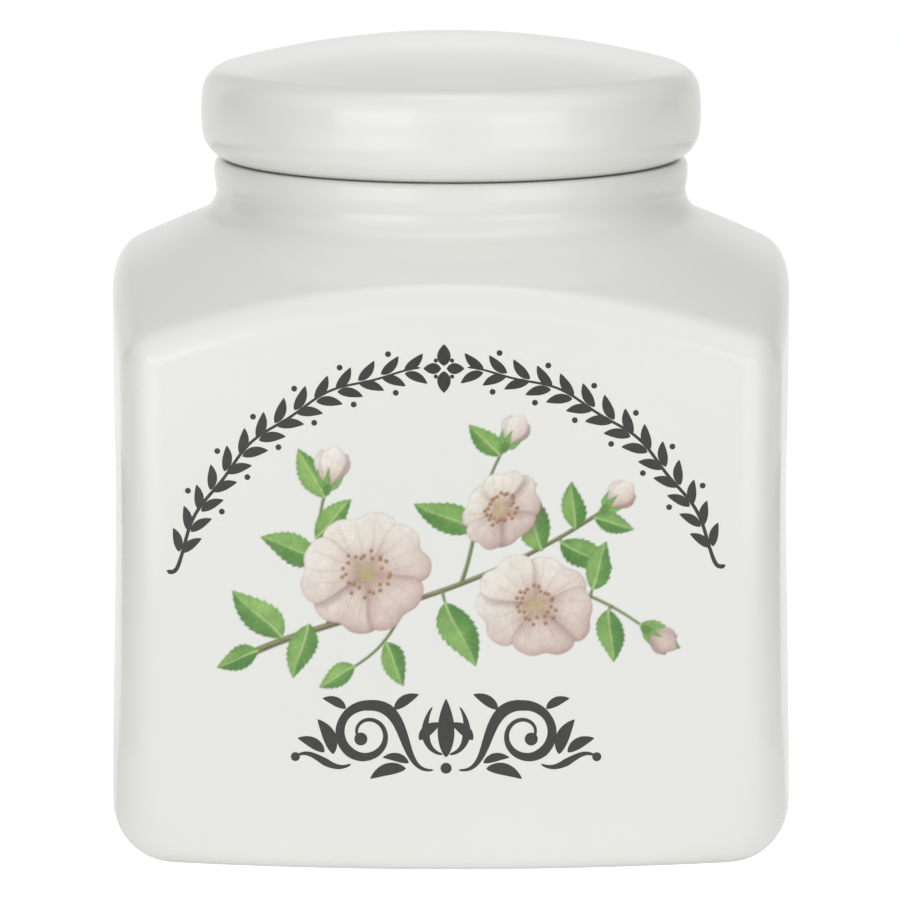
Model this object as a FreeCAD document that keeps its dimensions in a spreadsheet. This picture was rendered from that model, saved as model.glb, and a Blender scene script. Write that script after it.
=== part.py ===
import FreeCAD, Part
import Sketcher
import math
import os

from FreeCAD import Vector

# Garlic keeper: a square porcelain canister with a round neck, and a round
# porcelain lid that carries a soft seal ring on a plug.
# Frame: origin at the middle of the base, +Z up, front face towards -Y. Millimetres.

os.makedirs("parts", exist_ok=True)
doc = FreeCAD.newDocument("GarlicKeeper")

# ---------------------------------------------------------------- dimensions
sheet = doc.addObject("Spreadsheet::Sheet", "Dimensions")
sheet.Label = "Dimensions"

ROWS = [
    # jar, outside
    ("jar_width", "120", "across opposite faces, at their middles"),
    ("face_bow", "3.3", "how far a face's middle stands out of its corners' line"),
    ("corner_round", "8", "vertical corner radius"),
    ("base_round", "7.6", "radius where wall meets base"),
    ("crease_round", "7", "radius where wall meets shoulder"),
    ("shoulder_radius", "300", "radius of the shoulder's own arc"),
    ("shoulder_slope", "25.5", "slope of the shoulder at 60 from the axis, degrees"),
    ("shoulder_level", "100.6", "height of the shoulder's arc at 60 from the axis"),
    ("neck_radius", "41.6", "outside of the neck"),
    ("neck_cove", "5", "hollow round between shoulder and neck"),
    ("rim_level", "117.3", "height of the rim"),
    ("rim_round", "1.2", "edges of the rim"),
    # jar, inside
    ("wall", "4.6", "wall thickness"),
    ("floor_level", "6", "top of the floor inside"),
    ("core_corner_round", "6.5", "vertical corner radius of the hollow"),
    ("core_base_round", "5.6", "radius round the floor inside"),
    ("core_crease_round", "5.6", "radius under the shoulder inside"),
    ("bore_radius", "36.2", "mouth"),
    ("bore_lip", "4", "round where the mouth opens into the hollow"),
    # foot
    ("foot_half", "45", "from the axis to the recess under the base"),
    ("foot_corner", "9", "corner radius of the recess"),
    ("foot_recess", "1.2", "depth of the recess"),
    ("foot_edge", "0.5", "edges of the recess"),
    # lid
    ("lid_radius", "44.2", "widest radius of the lid"),
    ("lid_lower_round", "5", "lower edge round"),
    ("lid_side_top", "128.8", "where the upper edge round starts"),
    ("lid_upper_round", "5", "upper edge round"),
    ("dome_slope", "15.3", "slope of the dome where it meets the edge round, degrees"),
    ("lid_wall", "5", "thickness of the lid"),
    ("lid_inner_round", "3", "rounds in the hollow of the lid"),
    ("plug_radius", "34.4", "outside of the plug ring"),
    ("plug_bore", "29", "inside of the plug ring"),
    ("plug_depth", "14", "plug ring below the seat"),
    ("plug_round", "1.6", "lower edges of the plug ring"),
    ("seat_cove", "0.9", "hollow round between plug ring and seat"),
    # seal
    ("groove_radius", "32.9", "bottom of the seal's groove"),
    ("groove_top", "3", "top of the groove, below the seat"),
    ("groove_height", "8", "height of the groove"),
    ("seal_radius", "34.8", "seal between its fins"),
    ("fin_radius", "36", "tips of the seal's fins"),
]
for i, (alias, value, note) in enumerate(ROWS, start=1):
    sheet.set("A%d" % i, note)
    sheet.set("B%d" % i, value)
    sheet.setAlias("B%d" % i, alias)
doc.recompute()


def val(alias):
    return float(getattr(sheet, alias))


def lin(*terms):
    """A sum of cells and numbers, as its value now and as an expression."""
    value, text = 0.0, "0"
    for term in terms:
        if isinstance(term, tuple):
            value += term[0]
            text += " + (%s)" % term[1]
        elif isinstance(term, str):
            sign = -1.0 if term.startswith("-") else 1.0
            term = term.lstrip("-")
            factor, name = term.split("*") if "*" in term else ("1", term)
            value += sign * float(factor) * val(name)
            text += " %s %s * Dimensions.%s" % ("-" if sign < 0 else "+", factor, name)
        else:
            value += term
            text += " + (%r)" % float(term)
    return value, text


# ------------------------------------------------------------------- helpers
def new_body(name, label):
    body = doc.addObject("PartDesign::Body", name)
    body.Label = label
    return body


def new_sketch(body, name, role):
    sketch = body.newObject("Sketcher::SketchObject", name)
    plane = [f for f in body.Origin.OriginFeatures if f.Role == role][0]
    sketch.AttachmentSupport = [(plane, "")]
    sketch.MapMode = "FlatFace"
    return sketch


def constrain(sketch, name, kind, *args):
    """A driving constraint whose last argument is (value, expression)."""
    value, text = args[-1]
    index = sketch.addConstraint(Sketcher.Constraint(kind, *args[:-1], value))
    sketch.renameConstraint(index, name)
    sketch.setExpression("Constraints." + name, text)


def revolve(body, name, sketch, kind):
    feature = body.newObject("PartDesign::" + kind, name)
    feature.Profile = sketch
    feature.ReferenceAxis = (sketch, ["V_Axis"])
    feature.Angle = 360.0
    sketch.Visibility = False
    doc.recompute()
    return feature


def fillet(body, name, base, edges, alias):
    feature = body.newObject("PartDesign::Fillet", name)
    feature.Base = (base, edges)
    feature.setExpression("Radius", "Dimensions." + alias)
    doc.recompute()
    return feature


def pick(feature, test):
    """Names of the feature's edges whose box passes the test."""
    names = []
    for i, edge in enumerate(feature.Shape.Edges, start=1):
        if test(edge, edge.BoundBox):
            names.append("Edge%d" % i)
    return names


def profile(sketch, points, arcs=None):
    """A closed outline through points given as pairs of lin() results. arcs maps
    the number of a segment to (radius, side): side +1 puts the centre to the left."""
    arcs = arcs or {}
    count = len(points)
    xy = [Vector(p[0][0], p[1][0], 0) for p in points]
    start_of, end_of = [], []
    for i in range(count):
        a, b = xy[i], xy[(i + 1) % count]
        if i in arcs:
            radius, side = arcs[i]
            half = (b - a).Length / 2.0
            along = (b - a).normalize()
            left = Vector(-along.y, along.x, 0)
            rise = math.sqrt(max(radius[0] ** 2 - half * half, 0.0))
            centre = (a + b) * 0.5 + left * (rise * side)
            ta = math.atan2(a.y - centre.y, a.x - centre.x)
            tb = math.atan2(b.y - centre.y, b.x - centre.x)
            circle = Part.Circle(centre, Vector(0, 0, 1), radius[0])
            if side > 0:
                if tb < ta:
                    tb += 2 * math.pi
                sketch.addGeometry(Part.ArcOfCircle(circle, ta, tb), False)
                start_of.append(1)
                end_of.append(2)
            else:
                if ta < tb:
                    ta += 2 * math.pi
                sketch.addGeometry(Part.ArcOfCircle(circle, tb, ta), False)
                start_of.append(2)
                end_of.append(1)
        else:
            sketch.addGeometry(Part.LineSegment(a, b), False)
            start_of.append(1)
            end_of.append(2)
    for i in range(count):
        j = (i + 1) % count
        sketch.addConstraint(Sketcher.Constraint("Coincident", i, end_of[i], j, start_of[j]))
    for i in range(count):
        x, y = points[i]
        if abs(x[0]) < 1e-9:
            sketch.addConstraint(Sketcher.Constraint("PointOnObject", i, start_of[i], -2))
        else:
            constrain(sketch, "x%d" % i, "DistanceX", -1, 1, i, start_of[i], x)
        constrain(sketch, "z%d" % i, "DistanceY", -1, 1, i, start_of[i], y)
        if i in arcs:
            constrain(sketch, "r%d" % i, "Radius", i, arcs[i][0])


def bowed_square(sketch, inset):
    """Four shallow arcs, one for each face, meeting at sharp corners."""
    span = val("jar_width") / 2 - val("corner_round") / 2
    bow = val("face_bow")
    radius = (span * span + bow * bow) / (2 * bow)
    text = (
        "((Dimensions.jar_width / 2 - Dimensions.corner_round / 2)^2 + Dimensions.face_bow^2)"
        " / (2 * Dimensions.face_bow)"
    )
    away = lin((radius, text), "-0.5*jar_width")
    face = lin((radius, text), (-inset[0], "-(%s)" % inset[1]))
    # the corner lies on a diagonal, at equal distances from both arcs' centres
    corner = (-away[0] + math.sqrt(2 * face[0] ** 2 - away[0] ** 2)) / 2
    half = math.atan2(corner, corner + away[0])
    for turn, centre in ((-90, (0, 1)), (0, (-1, 0)), (90, (0, -1)), (180, (1, 0))):
        middle = Vector(centre[0] * away[0], centre[1] * away[0], 0)
        circle = Part.Circle(middle, Vector(0, 0, 1), face[0])
        t = math.radians(turn)
        sketch.addGeometry(Part.ArcOfCircle(circle, t - half, t + half), False)
    for i in range(4):
        sketch.addConstraint(Sketcher.Constraint("Coincident", i, 2, (i + 1) % 4, 1))
    for i, axis in ((0, -2), (1, -1), (2, -2), (3, -1)):
        sketch.addConstraint(Sketcher.Constraint("PointOnObject", i, 3, axis))
    constrain(sketch, "front_centre", "DistanceY", -1, 1, 0, 3, away)
    constrain(sketch, "right_centre", "DistanceX", 1, 3, -1, 1, away)
    constrain(sketch, "back_centre", "DistanceY", 2, 3, -1, 1, away)
    constrain(sketch, "left_centre", "DistanceX", -1, 1, 3, 3, away)
    constrain(sketch, "face_radius", "Radius", 0, face)
    for i in (1, 2, 3):
        sketch.addConstraint(Sketcher.Constraint("Equal", 0, i))


def shoulder_outline(sketch, neck, cove, depth, top):
    """The space above a shoulder and round a neck: the shoulder is one arc, eased
    into the neck's straight side by a hollow round."""
    slope = math.radians(val("shoulder_slope"))
    big = lin("shoulder_radius", (-depth[0], "-(%s)" % depth[1]))
    west = (
        val("shoulder_radius") * math.sin(slope) - 60,
        "Dimensions.shoulder_radius * sin(Dimensions.shoulder_slope) - 60",
    )
    south = (
        val("shoulder_radius") * math.cos(slope) - val("shoulder_level"),
        "Dimensions.shoulder_radius * cos(Dimensions.shoulder_slope) - Dimensions.shoulder_level",
    )
    centre = Vector(-west[0], -south[0], 0)
    kx = val(neck) + val(cove)
    reach = big[0] + val(cove)
    kz = centre.y + math.sqrt(reach**2 - (kx - centre.x) ** 2)
    cove_centre = Vector(kx, kz, 0)
    touch = centre + (cove_centre - centre) * (big[0] / reach)
    far = 95.0
    low = centre.y + math.sqrt(big[0] ** 2 - (far - centre.x) ** 2)
    up = top[0]
    # 0 neck's side, 1 cove, 2 shoulder, 3 outside, 4 top
    sketch.addGeometry(Part.LineSegment(Vector(val(neck), up, 0), Vector(val(neck), kz, 0)), False)
    at = math.atan2(touch.y - kz, touch.x - kx)
    sketch.addGeometry(
        Part.ArcOfCircle(Part.Circle(cove_centre, Vector(0, 0, 1), val(cove)), math.pi, at + 2 * math.pi),
        False,
    )
    a_touch = math.atan2(touch.y - centre.y, touch.x - centre.x)
    a_far = math.atan2(low - centre.y, far - centre.x)
    sketch.addGeometry(
        Part.ArcOfCircle(Part.Circle(centre, Vector(0, 0, 1), big[0]), a_far, a_touch), False
    )
    sketch.addGeometry(Part.LineSegment(Vector(far, low, 0), Vector(far, up, 0)), False)
    sketch.addGeometry(Part.LineSegment(Vector(far, up, 0), Vector(val(neck), up, 0)), False)
    sketch.addConstraint(Sketcher.Constraint("Tangent", 0, 2, 1, 1))
    sketch.addConstraint(Sketcher.Constraint("Tangent", 1, 2, 2, 2))
    sketch.addConstraint(Sketcher.Constraint("Coincident", 2, 1, 3, 1))
    sketch.addConstraint(Sketcher.Constraint("Coincident", 3, 2, 4, 1))
    sketch.addConstraint(Sketcher.Constraint("Coincident", 4, 2, 0, 1))
    sketch.addConstraint(Sketcher.Constraint("Vertical", 0))
    sketch.addConstraint(Sketcher.Constraint("Vertical", 3))
    sketch.addConstraint(Sketcher.Constraint("Horizontal", 4))
    constrain(sketch, "neck", "DistanceX", -1, 1, 0, 1, lin(neck))
    constrain(sketch, "cove", "Radius", 1, lin(cove))
    constrain(sketch, "arc", "Radius", 2, big)
    constrain(sketch, "west", "DistanceX", 2, 3, -1, 1, west)
    constrain(sketch, "south", "DistanceY", 2, 3, -1, 1, south)
    constrain(sketch, "far", "DistanceX", -1, 1, 3, 1, lin(far))
    constrain(sketch, "top", "DistanceY", -1, 1, 4, 1, top)


def is_upright(edge, box):
    return box.ZLength > 20 and box.XLength < 0.5 and box.YLength < 0.5


def is_crease(edge, box):
    """An edge of the closed line where the walls meet the shoulder."""
    reach = max(abs(box.XMin), abs(box.XMax), abs(box.YMin), abs(box.YMax))
    return reach > 50 and box.ZMin > 70 and not is_upright(edge, box)


# ----------------------------------------------------------- core of the jar
core = new_body("HollowCore", "hollow_core")
plan = new_sketch(core, "CorePlan", "XY_Plane")
bowed_square(plan, lin("wall"))
plan.setExpression("AttachmentOffset.Base.z", "Dimensions.floor_level")
block = core.newObject("PartDesign::Pad", "CoreBlock")
block.Profile = plan
block.setExpression("Length", lin("rim_level", "-floor_level", 6)[1])
doc.recompute()
step = fillet(core, "CoreCorners", block, pick(block, is_upright), "core_corner_round")
cut = new_sketch(core, "CoreShoulder", "XZ_Plane")
shoulder_outline(cut, "bore_radius", "bore_lip", lin("wall"), lin("rim_level", 10))
step = revolve(core, "CoreNeck", cut, "Groove")
step = fillet(core, "CoreCrease", step, pick(step, is_crease), "core_crease_round")
step = fillet(
    core,
    "CoreFloor",
    step,
    pick(step, lambda e, b: b.ZMax < val("floor_level") + 0.1),
    "core_base_round",
)
core.Tip = step
core_volume = core.Shape.Volume

# ------------------------------------------------------------------- the jar
jar = new_body("JarBody", "jar_body")
plan = new_sketch(jar, "JarPlan", "XY_Plane")
bowed_square(plan, lin(0.0))
block = jar.newObject("PartDesign::Pad", "JarBlock")
block.Profile = plan
block.setExpression("Length", "Dimensions.rim_level")
doc.recompute()
step = fillet(jar, "JarCorners", block, pick(block, is_upright), "corner_round")
cut = new_sketch(jar, "JarShoulder", "XZ_Plane")
shoulder_outline(cut, "neck_radius", "neck_cove", lin(0.0), lin("rim_level", 4))
step = revolve(jar, "JarNeck", cut, "Groove")
step = fillet(jar, "JarCrease", step, pick(step, is_crease), "crease_round")
step = fillet(jar, "JarBase", step, pick(step, lambda e, b: b.ZMax < 0.1), "base_round")

foot = new_sketch(jar, "FootRecess", "XY_Plane")
half, soft = val("foot_half"), val("foot_corner")
flat = half - soft
sides = [
    (Vector(-flat, -half, 0), Vector(flat, -half, 0)),
    (Vector(half, -flat, 0), Vector(half, flat, 0)),
    (Vector(flat, half, 0), Vector(-flat, half, 0)),
    (Vector(-half, flat, 0), Vector(-half, -flat, 0)),
]
for a, b in sides:
    foot.addGeometry(Part.LineSegment(a, b), False)
for (x, y), turn in (((1, -1), -90), ((1, 1), 0), ((-1, 1), 90), ((-1, -1), 180)):
    circle = Part.Circle(Vector(x * flat, y * flat, 0), Vector(0, 0, 1), soft)
    t = math.radians(turn)
    foot.addGeometry(Part.ArcOfCircle(circle, t, t + math.pi / 2), False)
for i in range(4):
    foot.addConstraint(Sketcher.Constraint("Tangent", i, 2, 4 + i, 1))
    foot.addConstraint(Sketcher.Constraint("Tangent", 4 + i, 2, (i + 1) % 4, 1))
for i in (0, 2):
    foot.addConstraint(Sketcher.Constraint("Horizontal", i))
for i in (1, 3):
    foot.addConstraint(Sketcher.Constraint("Vertical", i))
constrain(foot, "front", "DistanceY", 0, 1, -1, 1, lin("foot_half"))
constrain(foot, "right", "DistanceX", -1, 1, 1, 1, lin("foot_half"))
constrain(foot, "back", "DistanceY", -1, 1, 2, 1, lin("foot_half"))
constrain(foot, "left", "DistanceX", 3, 1, -1, 1, lin("foot_half"))
constrain(foot, "soft", "Radius", 4, lin("foot_corner"))
for i in (5, 6, 7):
    foot.addConstraint(Sketcher.Constraint("Equal", 4, i))
pocket = jar.newObject("PartDesign::Pocket", "FootPocket")
pocket.Profile = foot
pocket.Reversed = True
pocket.setExpression("Length", "Dimensions.foot_recess")
before = step.Shape.Volume
doc.recompute()
assert before - pocket.Shape.Volume > 0.9 * 4 * half * half * val("foot_recess") * 0.95

shallow = val("foot_recess") + 0.05
step = fillet(
    jar,
    "FootEdges",
    pocket,
    pick(pocket, lambda e, b: b.ZMax < shallow and b.ZLength < 0.1 and max(b.XMax, b.YMax, -b.XMin, -b.YMin) < half + 0.1),
    "foot_edge",
)
hollow = jar.newObject("PartDesign::Boolean", "JarHollow")
hollow.addObjects([core])
hollow.Type = "Cut"
doc.recompute()
solid_volume = step.Shape.Volume
rim = val("rim_level")
step = fillet(
    jar,
    "JarRim",
    hollow,
    pick(hollow, lambda e, b: b.ZMin > rim - 0.1 and b.ZLength < 0.1),
    "rim_round",
)
jar.Tip = step

# ------------------------------------------------------------------- the lid
lid = new_body("Lid", "lid")
sl = math.radians(val("dome_slope"))
ur = val("lid_upper_round")
up_x = (ur * math.sin(sl), "Dimensions.lid_upper_round * sin(Dimensions.dome_slope)")
up_z = (ur * math.cos(sl), "Dimensions.lid_upper_round * cos(Dimensions.dome_slope)")
edge_x = lin("lid_radius", "-lid_upper_round", up_x)
edge_z = lin("lid_side_top", up_z)
dome_r = (edge_x[0] / math.sin(sl), "(%s) / sin(Dimensions.dome_slope)" % edge_x[1])
top_z = lin(
    edge_z,
    (
        dome_r[0] * (1 - math.cos(sl)),
        "(%s) * (1 - cos(Dimensions.dome_slope))" % dome_r[1],
    ),
)
# the hollow follows the outside at the lid's thickness
in_r = lin(dome_r, "-lid_wall")
in_x = lin("lid_radius", "-lid_wall", "-lid_inner_round")
span = (
    math.sqrt(in_r[0] ** 2 - in_x[0] ** 2),
    "sqrt((%s)^2 - (%s)^2)" % (in_r[1], in_x[1]),
)
in_corner = lin(top_z, (-dome_r[0], "-(%s)" % dome_r[1]), span)
outline = new_sketch(lid, "LidProfile", "XZ_Plane")
zero = (0.0, "0")
profile(
    outline,
    [
        (zero, top_z),
        (edge_x, edge_z),
        (lin("lid_radius"), lin("lid_side_top")),
        (lin("lid_radius"), lin("rim_level", "lid_lower_round")),
        (lin("lid_radius", "-lid_lower_round"), lin("rim_level")),
        (lin("plug_radius"), lin("rim_level")),
        (lin("plug_radius"), lin("rim_level", "-plug_depth")),
        (lin("plug_bore"), lin("rim_level", "-plug_depth")),
        (lin("plug_bore"), lin("rim_level", "lid_wall")),
        (lin("lid_radius", "-lid_wall", "-lid_inner_round"), lin("rim_level", "lid_wall")),
        (lin("lid_radius", "-lid_wall"), lin("rim_level", "lid_wall", "lid_inner_round")),
        (lin("lid_radius", "-lid_wall"), lin(in_corner, "-lid_inner_round")),
        (in_x, in_corner),
        (zero, lin(top_z, "-lid_wall")),
    ],
    {
        0: (dome_r, -1),
        1: (lin("lid_upper_round"), -1),
        3: (lin("lid_lower_round"), -1),
        9: (lin("lid_inner_round"), 1),
        11: (lin("lid_inner_round"), 1),
        12: (in_r, 1),
    },
)
step = revolve(lid, "LidShell", outline, "Revolution")
groove = new_sketch(lid, "SealGroove", "XZ_Plane")
profile(
    groove,
    [
        (lin("groove_radius"), lin("rim_level", "-groove_top")),
        (lin("groove_radius"), lin("rim_level", "-groove_top", "-groove_height")),
        (lin("plug_radius", 2), lin("rim_level", "-groove_top", "-groove_height")),
        (lin("plug_radius", 2), lin("rim_level", "-groove_top")),
    ],
)
whole = step.Shape.Volume
step = revolve(lid, "LidGroove", groove, "Groove")
assert whole - step.Shape.Volume > 1000
foot_z = rim - val("plug_depth")
step = fillet(
    lid,
    "PlugEdges",
    step,
    pick(step, lambda e, b: abs(b.ZMin - foot_z) < 0.1 and b.ZLength < 0.1),
    "plug_round",
)
lip_z = rim + val("lid_wall")
step = fillet(
    lid,
    "HollowLip",
    step,
    pick(
        step,
        lambda e, b: abs(b.ZMin - lip_z) < 0.1 and b.ZLength < 0.1 and abs(b.XMax - val("plug_bore")) < 0.1,
    ),
    "plug_round",
)
step = fillet(
    lid,
    "SeatCove",
    step,
    pick(
        step,
        lambda e, b: abs(b.ZMin - rim) < 0.1 and b.ZLength < 0.1 and abs(b.XMax - val("plug_radius")) < 0.1,
    ),
    "seat_cove",
)
lid.Tip = step

# ------------------------------------------------------------------ the seal
seal = new_body("LidGasket", "lid_gasket")
ring = new_sketch(seal, "SealProfile", "XZ_Plane")


def below(depth):
    return lin("rim_level", "-groove_top", -depth)


profile(
    ring,
    [
        (lin("groove_radius"), below(0.0)),
        (lin("groove_radius"), lin("rim_level", "-groove_top", "-groove_height")),
        (lin("seal_radius", -0.4), lin("rim_level", "-groove_top", "-groove_height")),
        (lin("seal_radius"), below(7.2)),
        (lin("fin_radius"), below(5.4)),
        (lin("fin_radius"), below(4.9)),
        (lin("seal_radius"), below(5.5)),
        (lin("seal_radius"), below(4.2)),
        (lin("fin_radius"), below(1.9)),
        (lin("fin_radius"), below(1.4)),
        (lin("seal_radius"), below(2.0)),
        (lin("seal_radius"), below(0.4)),
        (lin("seal_radius", -0.4), below(0.0)),
    ],
)
step = revolve(seal, "SealRing", ring, "Revolution")
seal.Tip = step

doc.recompute()

# ----------------------------------------------------------------- the files
for obj in doc.Objects:
    if "Invalid" in obj.State or "Error" in obj.State:
        raise SystemExit("%s: %s" % (obj.Label, obj.State))
for body in (jar, lid, seal):
    shape = body.Shape
    if shape.isNull() or not shape.isValid() or len(shape.Solids) != 1:
        raise SystemExit("%s has no valid single solid" % body.Label)
if abs((solid_volume - core_volume) - hollow.Shape.Volume) > 0.35 * core_volume:
    raise SystemExit("the hollow was not cut")
for body in (jar, lid, seal):
    shape = body.Shape
    shape.exportStep("parts/%s.step" % body.Label)
    box = shape.BoundBox
    print(
        "%-12s %8.1f cm3  x %.1f..%.1f  y %.1f..%.1f  z %.1f..%.1f"
        % (body.Label, shape.Volume / 1000, box.XMin, box.XMax, box.YMin, box.YMax, box.ZMin, box.ZMax)
    )
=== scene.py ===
"""Looks of the garlic keeper: glazed porcelain jar and lid, soft seal ring, front print, studio."""

import json
import math

import bmesh
import bpy
import numpy as np
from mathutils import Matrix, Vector


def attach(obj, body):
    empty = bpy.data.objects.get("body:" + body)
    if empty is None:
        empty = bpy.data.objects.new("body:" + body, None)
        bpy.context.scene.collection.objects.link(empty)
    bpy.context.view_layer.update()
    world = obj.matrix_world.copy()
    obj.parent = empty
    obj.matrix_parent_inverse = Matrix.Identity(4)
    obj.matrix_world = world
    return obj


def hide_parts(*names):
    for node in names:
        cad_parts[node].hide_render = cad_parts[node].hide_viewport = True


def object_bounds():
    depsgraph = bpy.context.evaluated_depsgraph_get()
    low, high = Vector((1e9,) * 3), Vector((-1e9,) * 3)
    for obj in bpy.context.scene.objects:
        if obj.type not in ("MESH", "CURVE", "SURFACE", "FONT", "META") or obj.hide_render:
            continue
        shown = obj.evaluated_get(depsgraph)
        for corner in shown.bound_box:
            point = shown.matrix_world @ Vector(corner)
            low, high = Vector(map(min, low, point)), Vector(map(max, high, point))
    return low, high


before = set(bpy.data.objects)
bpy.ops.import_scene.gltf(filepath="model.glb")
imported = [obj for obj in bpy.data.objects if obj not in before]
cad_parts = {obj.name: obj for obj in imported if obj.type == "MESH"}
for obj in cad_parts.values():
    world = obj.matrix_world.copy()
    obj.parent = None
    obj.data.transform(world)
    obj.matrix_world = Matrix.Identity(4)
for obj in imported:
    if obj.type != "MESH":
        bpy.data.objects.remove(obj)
CAD_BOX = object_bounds()
scene = bpy.context.scene
MM = 0.001

# ------------------------------------------------------------------ the jar's form
# millimetres, as in the CAD model
HALF, BOW, CORNER = 60.0, 3.3, 8.0
CREASE_ROUND = 7.0
SHOULDER_R, SHOULDER_SLOPE, SHOULDER_Z = 300.0, 25.5, 100.6
NECK_R, COVE, RIM_Z, RIM_ROUND = 41.6, 5.0, 117.3, 1.2
WALL, FLOOR_Z, BORE_R, BORE_LIP = 4.6, 6.0, 36.2, 4.0
FOOT_HALF, FOOT_CORNER, FOOT_DEPTH = 45.0, 9.0, 1.2
# the fired walls draw in a little above the foot, and are flatter low down
DRAW = ((0, 60.0), (10, 60.0), (20, 59.98), (29, 59.85), (38, 59.68), (46, 59.55), (55, 59.45), (65, 59.42), (75, 59.46), (84, 59.56), (96, 59.66))
LOW_CORNER, LOW_BOW = 10.4, 2.4


def half_of(z):
    z = np.asarray(z, float)
    zs, hs = np.array(DRAW).T
    fine = np.linspace(-8, 104, 449)
    h = np.interp(fine, zs, hs)
    h = np.convolve(np.pad(h, 20, mode="edge"), np.hanning(41) / np.hanning(41).sum(), "valid")
    return np.interp(z, fine, h)


def corner_of(z):
    t = np.clip((np.asarray(z, float) - 10) / 12, 0, 1)
    return LOW_CORNER + (CORNER - LOW_CORNER) * t * t * (3 - 2 * t)


def bow_of(z):
    t = np.clip((np.asarray(z, float) - 8) / 22, 0, 1)
    return LOW_BOW + (BOW - LOW_BOW) * t * t * (3 - 2 * t)


def outline(theta, half, bow, corner):
    """Point and outward normal of a square with bowed faces and rounded corners."""
    theta, half, bow, corner = np.broadcast_arrays(*(np.asarray(v, float) for v in (theta, half, bow, corner)))
    span = half - 0.5 * corner
    big = (span * span + bow * bow) / (2 * bow)
    off = half - big
    c = (2 * off + np.sqrt(4 * off * off - 8 * (off * off - (big - corner) ** 2))) / 4
    phi = np.arctan2(c, c - off)
    join = np.arctan2(big * np.sin(phi), off + big * np.cos(phi))
    k = np.round(theta / (math.pi / 2))
    t = theta - k * math.pi / 2
    s = np.where(t < 0, -1.0, 1.0)
    ct, st = np.cos(t), np.abs(np.sin(t))
    face = off * ct + np.sqrt((off * ct) ** 2 - (off * off - big * big))
    along = c * (ct + st)
    turn = along + np.sqrt(np.maximum(along**2 - (2 * c * c - corner * corner), 0))
    on_face = np.abs(t) <= join
    r = np.where(on_face, face, turn)
    x, y = r * ct, r * st
    nx = np.where(on_face, (x - off) / big, (x - c) / corner)
    ny = np.where(on_face, y / big, (y - c) / corner)
    y, ny = y * s, ny * s
    ck, sk = np.cos(k * math.pi / 2), np.sin(k * math.pi / 2)
    return (
        np.stack([x * ck - y * sk, x * sk + y * ck], -1),
        np.stack([nx * ck - ny * sk, nx * sk + ny * ck], -1),
    )


def rounded_radius(theta, half, corner):
    """Polar radius of a square with straight sides and rounded corners."""
    t = np.abs((theta + math.pi / 4) % (math.pi / 2) - math.pi / 4)
    ct, st = np.cos(t), np.sin(t)
    c = half - corner
    side = half / ct
    along = c * (ct + st)
    turn = along + np.sqrt(np.maximum(along**2 - (2 * c * c - corner * corner), 0))
    return np.where(side * st <= c, side, turn)


def spread(count):
    """Azimuths of the jar's columns, closer together round the corners."""
    fine = np.linspace(0, math.pi / 4, 4001)
    p, n = outline(fine, HALF, BOW, CORNER)
    ds = np.hypot(*np.diff(p, axis=0).T)
    tangent = np.unwrap(np.arctan2(n[:, 1], n[:, 0]))
    bend = np.abs(np.diff(tangent)) / ds
    bend = np.convolve(np.pad(bend, 150, mode="edge"), np.ones(301) / 301, "valid")
    weight = ds * (1 + 16 * bend)
    total = np.concatenate([[0], np.cumsum(weight)])
    octant = np.interp(np.linspace(0, total[-1], count // 8 + 1), total, fine)
    quarter = np.concatenate([octant, math.pi / 2 - octant[-2::-1]])[:-1]
    return np.concatenate([quarter + k * math.pi / 2 for k in range(4)])


def shoulder_curve(inset):
    slope = math.radians(SHOULDER_SLOPE)
    cx = 60 - SHOULDER_R * math.sin(slope)
    cz = SHOULDER_Z - SHOULDER_R * math.cos(slope)
    r = np.linspace(34, 92, 581)
    return r, cz + np.sqrt((SHOULDER_R - inset) ** 2 - (r - cx) ** 2)


def smooth01(t):
    t = np.clip(t, 0, 1)
    return t * t * (3 - 2 * t)


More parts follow.
